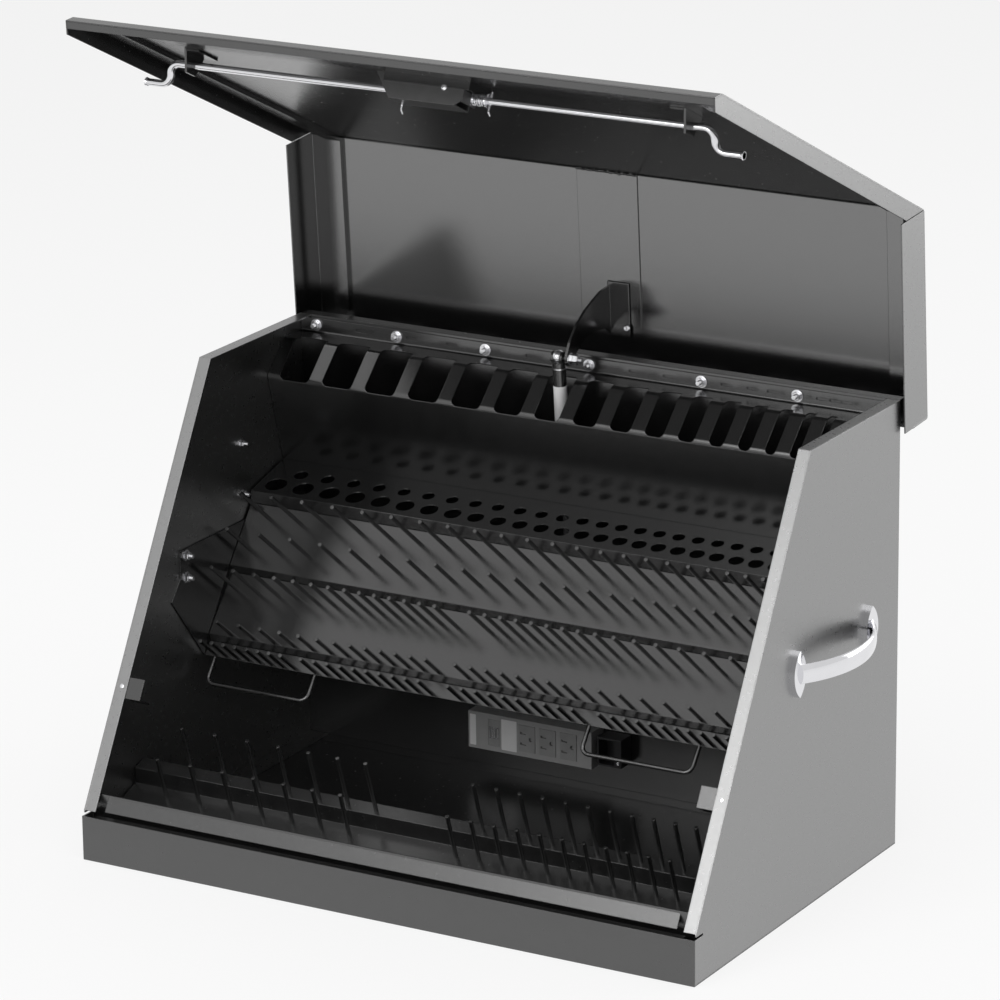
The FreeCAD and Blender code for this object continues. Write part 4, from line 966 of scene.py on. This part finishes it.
@dataclass
class Studio:
    """A pale floor, a white surround and a few soft lamps."""

    floor_half: float = 30.0
    floor_tone: float = 0.9
    surround: float = 0.5
    self_lit: float = 0.8

    def build(self) -> None:
        """Make the floor, the world and the lamps."""
        self.make_floor()
        self.make_world()
        self.add_lamp("overhead", (0.2, -0.3, 3.2), (0.0, 0.0, 0.4), 3.2, 3.2, 60.0)
        self.add_lamp("right_rear", (2.3, 3.4, 1.05), (0.38, 0.0, 0.3), 3.4, 2.0, 42.0)
        self.add_lamp("front", (-0.8, -4.2, 2.4), (0.0, 0.0, 0.4), 2.4, 2.0, 50.0)
        self.make_flag()
        log.info("studio: floor, surround, 3 lamps and a dark flag")

    @staticmethod
    def make_flag() -> None:
        """A dark card out of view, which darkens the lower lid's reflection."""
        mesh = bpy.data.meshes.new("flag")
        mesh.from_pydata([(-1.8, -0.89, 0.004), (0.3, -0.89, 0.004), (0.3, -0.46, 0.004), (-1.8, -0.46, 0.004)],
                         [], [(0, 1, 2, 3)])
        flag = bpy.data.objects.new("flag", mesh)
        bpy.context.scene.collection.objects.link(flag)
        sheet = NodeSheet("flag")
        sheet.set(Base_Color=(0.01, 0.01, 0.01, 1), Roughness=1.0, Specular_IOR_Level=0.0)
        mesh.materials.append(sheet.material)
        flag.visible_camera = False
        flag.visible_diffuse = False
        flag.visible_shadow = False

    def make_floor(self) -> None:
        """Make a big floor that reads white to the camera but keeps shadows."""
        mesh = bpy.data.meshes.new("floor")
        half = self.floor_half
        mesh.from_pydata([(-half, -half, 0), (half, -half, 0), (half, half, 0), (-half, half, 0)],
                         [], [(0, 1, 2, 3)])
        floor = bpy.data.objects.new("floor", mesh)
        bpy.context.scene.collection.objects.link(floor)
        sheet = NodeSheet("floor")
        sheet.set(Base_Color=(self.floor_tone,) * 3 + (1,), Roughness=1.0)
        sheet.set(Specular_IOR_Level=0.0)
        glow = sheet.add("ShaderNodeEmission", Color=(1, 1, 1, 1), Strength=1.0)
        mix = sheet.add("ShaderNodeMixShader")
        share = sheet.add("ShaderNodeMath", operation="MULTIPLY")
        share.inputs[1].default_value = self.self_lit
        sheet.join(self.seen(sheet), "Value", share, 0)
        sheet.join(share, "Value", mix, 0)
        sheet.join(sheet.shader, "BSDF", mix, 1)
        sheet.join(glow, "Emission", mix, 2)
        sheet.join(mix, "Shader", sheet.output, "Surface")
        mesh.materials.append(sheet.material)

    @staticmethod
    def seen(sheet: "NodeSheet") -> bpy.types.Node:
        """One where a camera, glossy or transmission ray asks, else zero."""
        path = sheet.add("ShaderNodeLightPath")
        first = sheet.add("ShaderNodeMath", operation="MAXIMUM")
        second = sheet.add("ShaderNodeMath", operation="MAXIMUM")
        sheet.join(path, "Is Camera Ray", first, 0)
        sheet.join(path, "Is Glossy Ray", first, 1)
        sheet.join(first, "Value", second, 0)
        sheet.join(path, "Is Transmission Ray", second, 1)
        return second

    def make_world(self) -> None:
        """White where it is seen, dimmer where it lights."""
        world = bpy.data.worlds.new("surround")
        world.use_nodes = True
        tree = world.node_tree
        tree.nodes.clear()
        back = tree.nodes.new("ShaderNodeBackground")
        out = tree.nodes.new("ShaderNodeOutputWorld")
        path = tree.nodes.new("ShaderNodeLightPath")
        first = tree.nodes.new("ShaderNodeMath")
        first.operation = "MAXIMUM"
        second = tree.nodes.new("ShaderNodeMath")
        second.operation = "MAXIMUM"
        spread = tree.nodes.new("ShaderNodeMapRange")
        spread.inputs["To Min"].default_value = self.surround
        spread.inputs["To Max"].default_value = 1.0
        tree.links.new(path.outputs["Is Camera Ray"], first.inputs[0])
        tree.links.new(path.outputs["Is Glossy Ray"], first.inputs[1])
        tree.links.new(first.outputs[0], second.inputs[0])
        tree.links.new(path.outputs["Is Transmission Ray"], second.inputs[1])
        tree.links.new(second.outputs[0], spread.inputs["Value"])
        tree.links.new(spread.outputs["Result"], back.inputs["Strength"])
        tree.links.new(back.outputs[0], out.inputs[0])
        bpy.context.scene.world = world

    @staticmethod
    def add_lamp(name: str, place: tuple, aim: tuple, width: float, height: float,
                 watts: float) -> None:
        """Add a soft rectangular lamp that faces a point.

        Args:
            name: The lamp's name.
            place: Where it stands.
            aim: The point that it faces.
            width: Its width.
            height: Its height.
            watts: Its power.
        """
        data = bpy.data.lights.new(name, "AREA")
        data.shape = "RECTANGLE"
        data.size = width
        data.size_y = height
        data.energy = watts
        lamp = bpy.data.objects.new(name, data)
        lamp.location = place
        lamp.visible_camera = False
        lamp.rotation_euler = (Vector(aim) - Vector(place)).to_track_quat("-Z", "Y").to_euler()
        bpy.context.scene.collection.objects.link(lamp)


@dataclass
class Viewpoint:
    """The photograph's camera: angles in degrees, lengths in metres."""

    azimuth: float = 30.28
    elevation: float = 17.37
    roll: float = -0.62
    distance: float = 5.72277
    target: tuple = (0.03804, -0.035, 0.42133)
    focal_pixels: float = 5345.33

    def build(self) -> None:
        """Make the camera and let the scene use it."""
        turn = (Matrix.Rotation(math.radians(self.azimuth), 4, "Z")
                @ Matrix.Rotation(math.radians(90 - self.elevation), 4, "X")
                @ Matrix.Rotation(math.radians(self.roll), 4, "Z"))
        data = bpy.data.cameras.new("camera")
        data.sensor_width = SENSOR_MM
        data.lens = self.focal_pixels / PHOTO_PIXELS * SENSOR_MM
        camera = bpy.data.objects.new("camera", data)
        backwards = turn.to_3x3() @ Vector((0, 0, 1))
        camera.matrix_world = Matrix.Translation(Vector(self.target) + backwards * self.distance) @ turn
        bpy.context.scene.collection.objects.link(camera)
        bpy.context.scene.camera = camera
        log.info("camera: %.1f mm lens", data.lens)


class Cabinet:
    """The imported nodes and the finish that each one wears."""

    LID_NODES = ("lid_shell", "lid_seal_left", "lid_seal_right", "lid_doubler")
    FRONT_NODES = ("base_pan", "hinge_channel", "socket_tray")

    def __init__(self) -> None:
        """Make the finishes."""
        coats = {
            Coat.OUTSIDE: PowderCoat(Coat.OUTSIDE, index=3.5, low_roughness=0.24, high_roughness=0.34).build(),
            Coat.INSIDE: PowderCoat(Coat.INSIDE, dark=0.005, light=0.009, low_roughness=0.14,
                                    high_roughness=0.22).build(),
            Coat.LID: PowderCoat(Coat.LID, index=2.6, dark=0.005, light=0.009, low_roughness=0.13,
                                 high_roughness=0.19).build(),
            Coat.FRONT: PowderCoat(Coat.FRONT).build(),
        }
        self.coats = coats
        self.finishes = {
            "black_enamel": coats[Coat.INSIDE],
            "chrome_handle": BareMetal("chrome").build(),
            "bright_steel": BareMetal("zinc", low_roughness=0.15, high_roughness=0.3).build(),
            "outlet_plastic": MouldedPlastic("outlet_plastic", dark=(0.3,) * 3, light=(0.38,) * 3).build(),
            "strip_plastic": MouldedPlastic("strip_plastic", dark=(0.36,) * 3, light=(0.44,) * 3).build(),
            "latch_black": coats[Coat.INSIDE],
            "strut_black": coats[Coat.INSIDE],
        }

    def bench(self) -> dict:
        """The finishes that new pieces take, by a short word."""
        return {"lid": self.coats[Coat.LID], "front": self.coats[Coat.FRONT], "inside": self.coats[Coat.INSIDE],
                "outside": self.coats[Coat.OUTSIDE], "bright": self.finishes["bright_steel"],
                "rod": BareMetal("rod_steel", low_roughness=0.08, high_roughness=0.2,
                                 stretch=(0.05, 1, 1)).build(),
                "case": MouldedPlastic("case_enamel", dark=(0.05,) * 3, light=(0.075,) * 3).build(),
                "cover": MouldedPlastic("cover_plastic").build(),
                "outlet": self.finishes["outlet_plastic"], "strip": self.finishes["strip_plastic"],
                "label": MouldedPlastic("label_film", dark=(0.85,) * 3, light=(0.92,) * 3,
                                        low_roughness=0.45, high_roughness=0.6).build()}

    def dress(self) -> None:
        """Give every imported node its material."""
        slots = {row["node"]: row["material_slot"] for row in frame["record"]["subparts"]}
        for name, node in frame["nodes"].items():
            material = self.finishes[slots[name]]
            if name in self.LID_NODES:
                material = self.coats[Coat.LID]
            elif name in self.FRONT_NODES:
                material = self.coats[Coat.FRONT]
            node.data.materials.clear()
            node.data.materials.append(material)
        log.info("cabinet: %d packed nodes dressed", len(frame["nodes"]))


def main() -> None:
    """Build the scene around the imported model."""
    logging.basicConfig(level=logging.INFO, format="%(message)s")
    bpy.context.scene.view_settings.view_transform = "Standard"
    Viewpoint().build()
    Studio().build()
    cabinet = Cabinet()
    cabinet.dress()
    folds = Folds()
    finishes = cabinet.bench()
    for assembly in (Lid(folds, finishes), SidePanels(folds, finishes), Rack(folds, finishes), Cabinetwork(folds, finishes),
                     PowerStrip(finishes), Strut(finishes)):
        assembly.build()


if __name__ == "__main__":
    main()
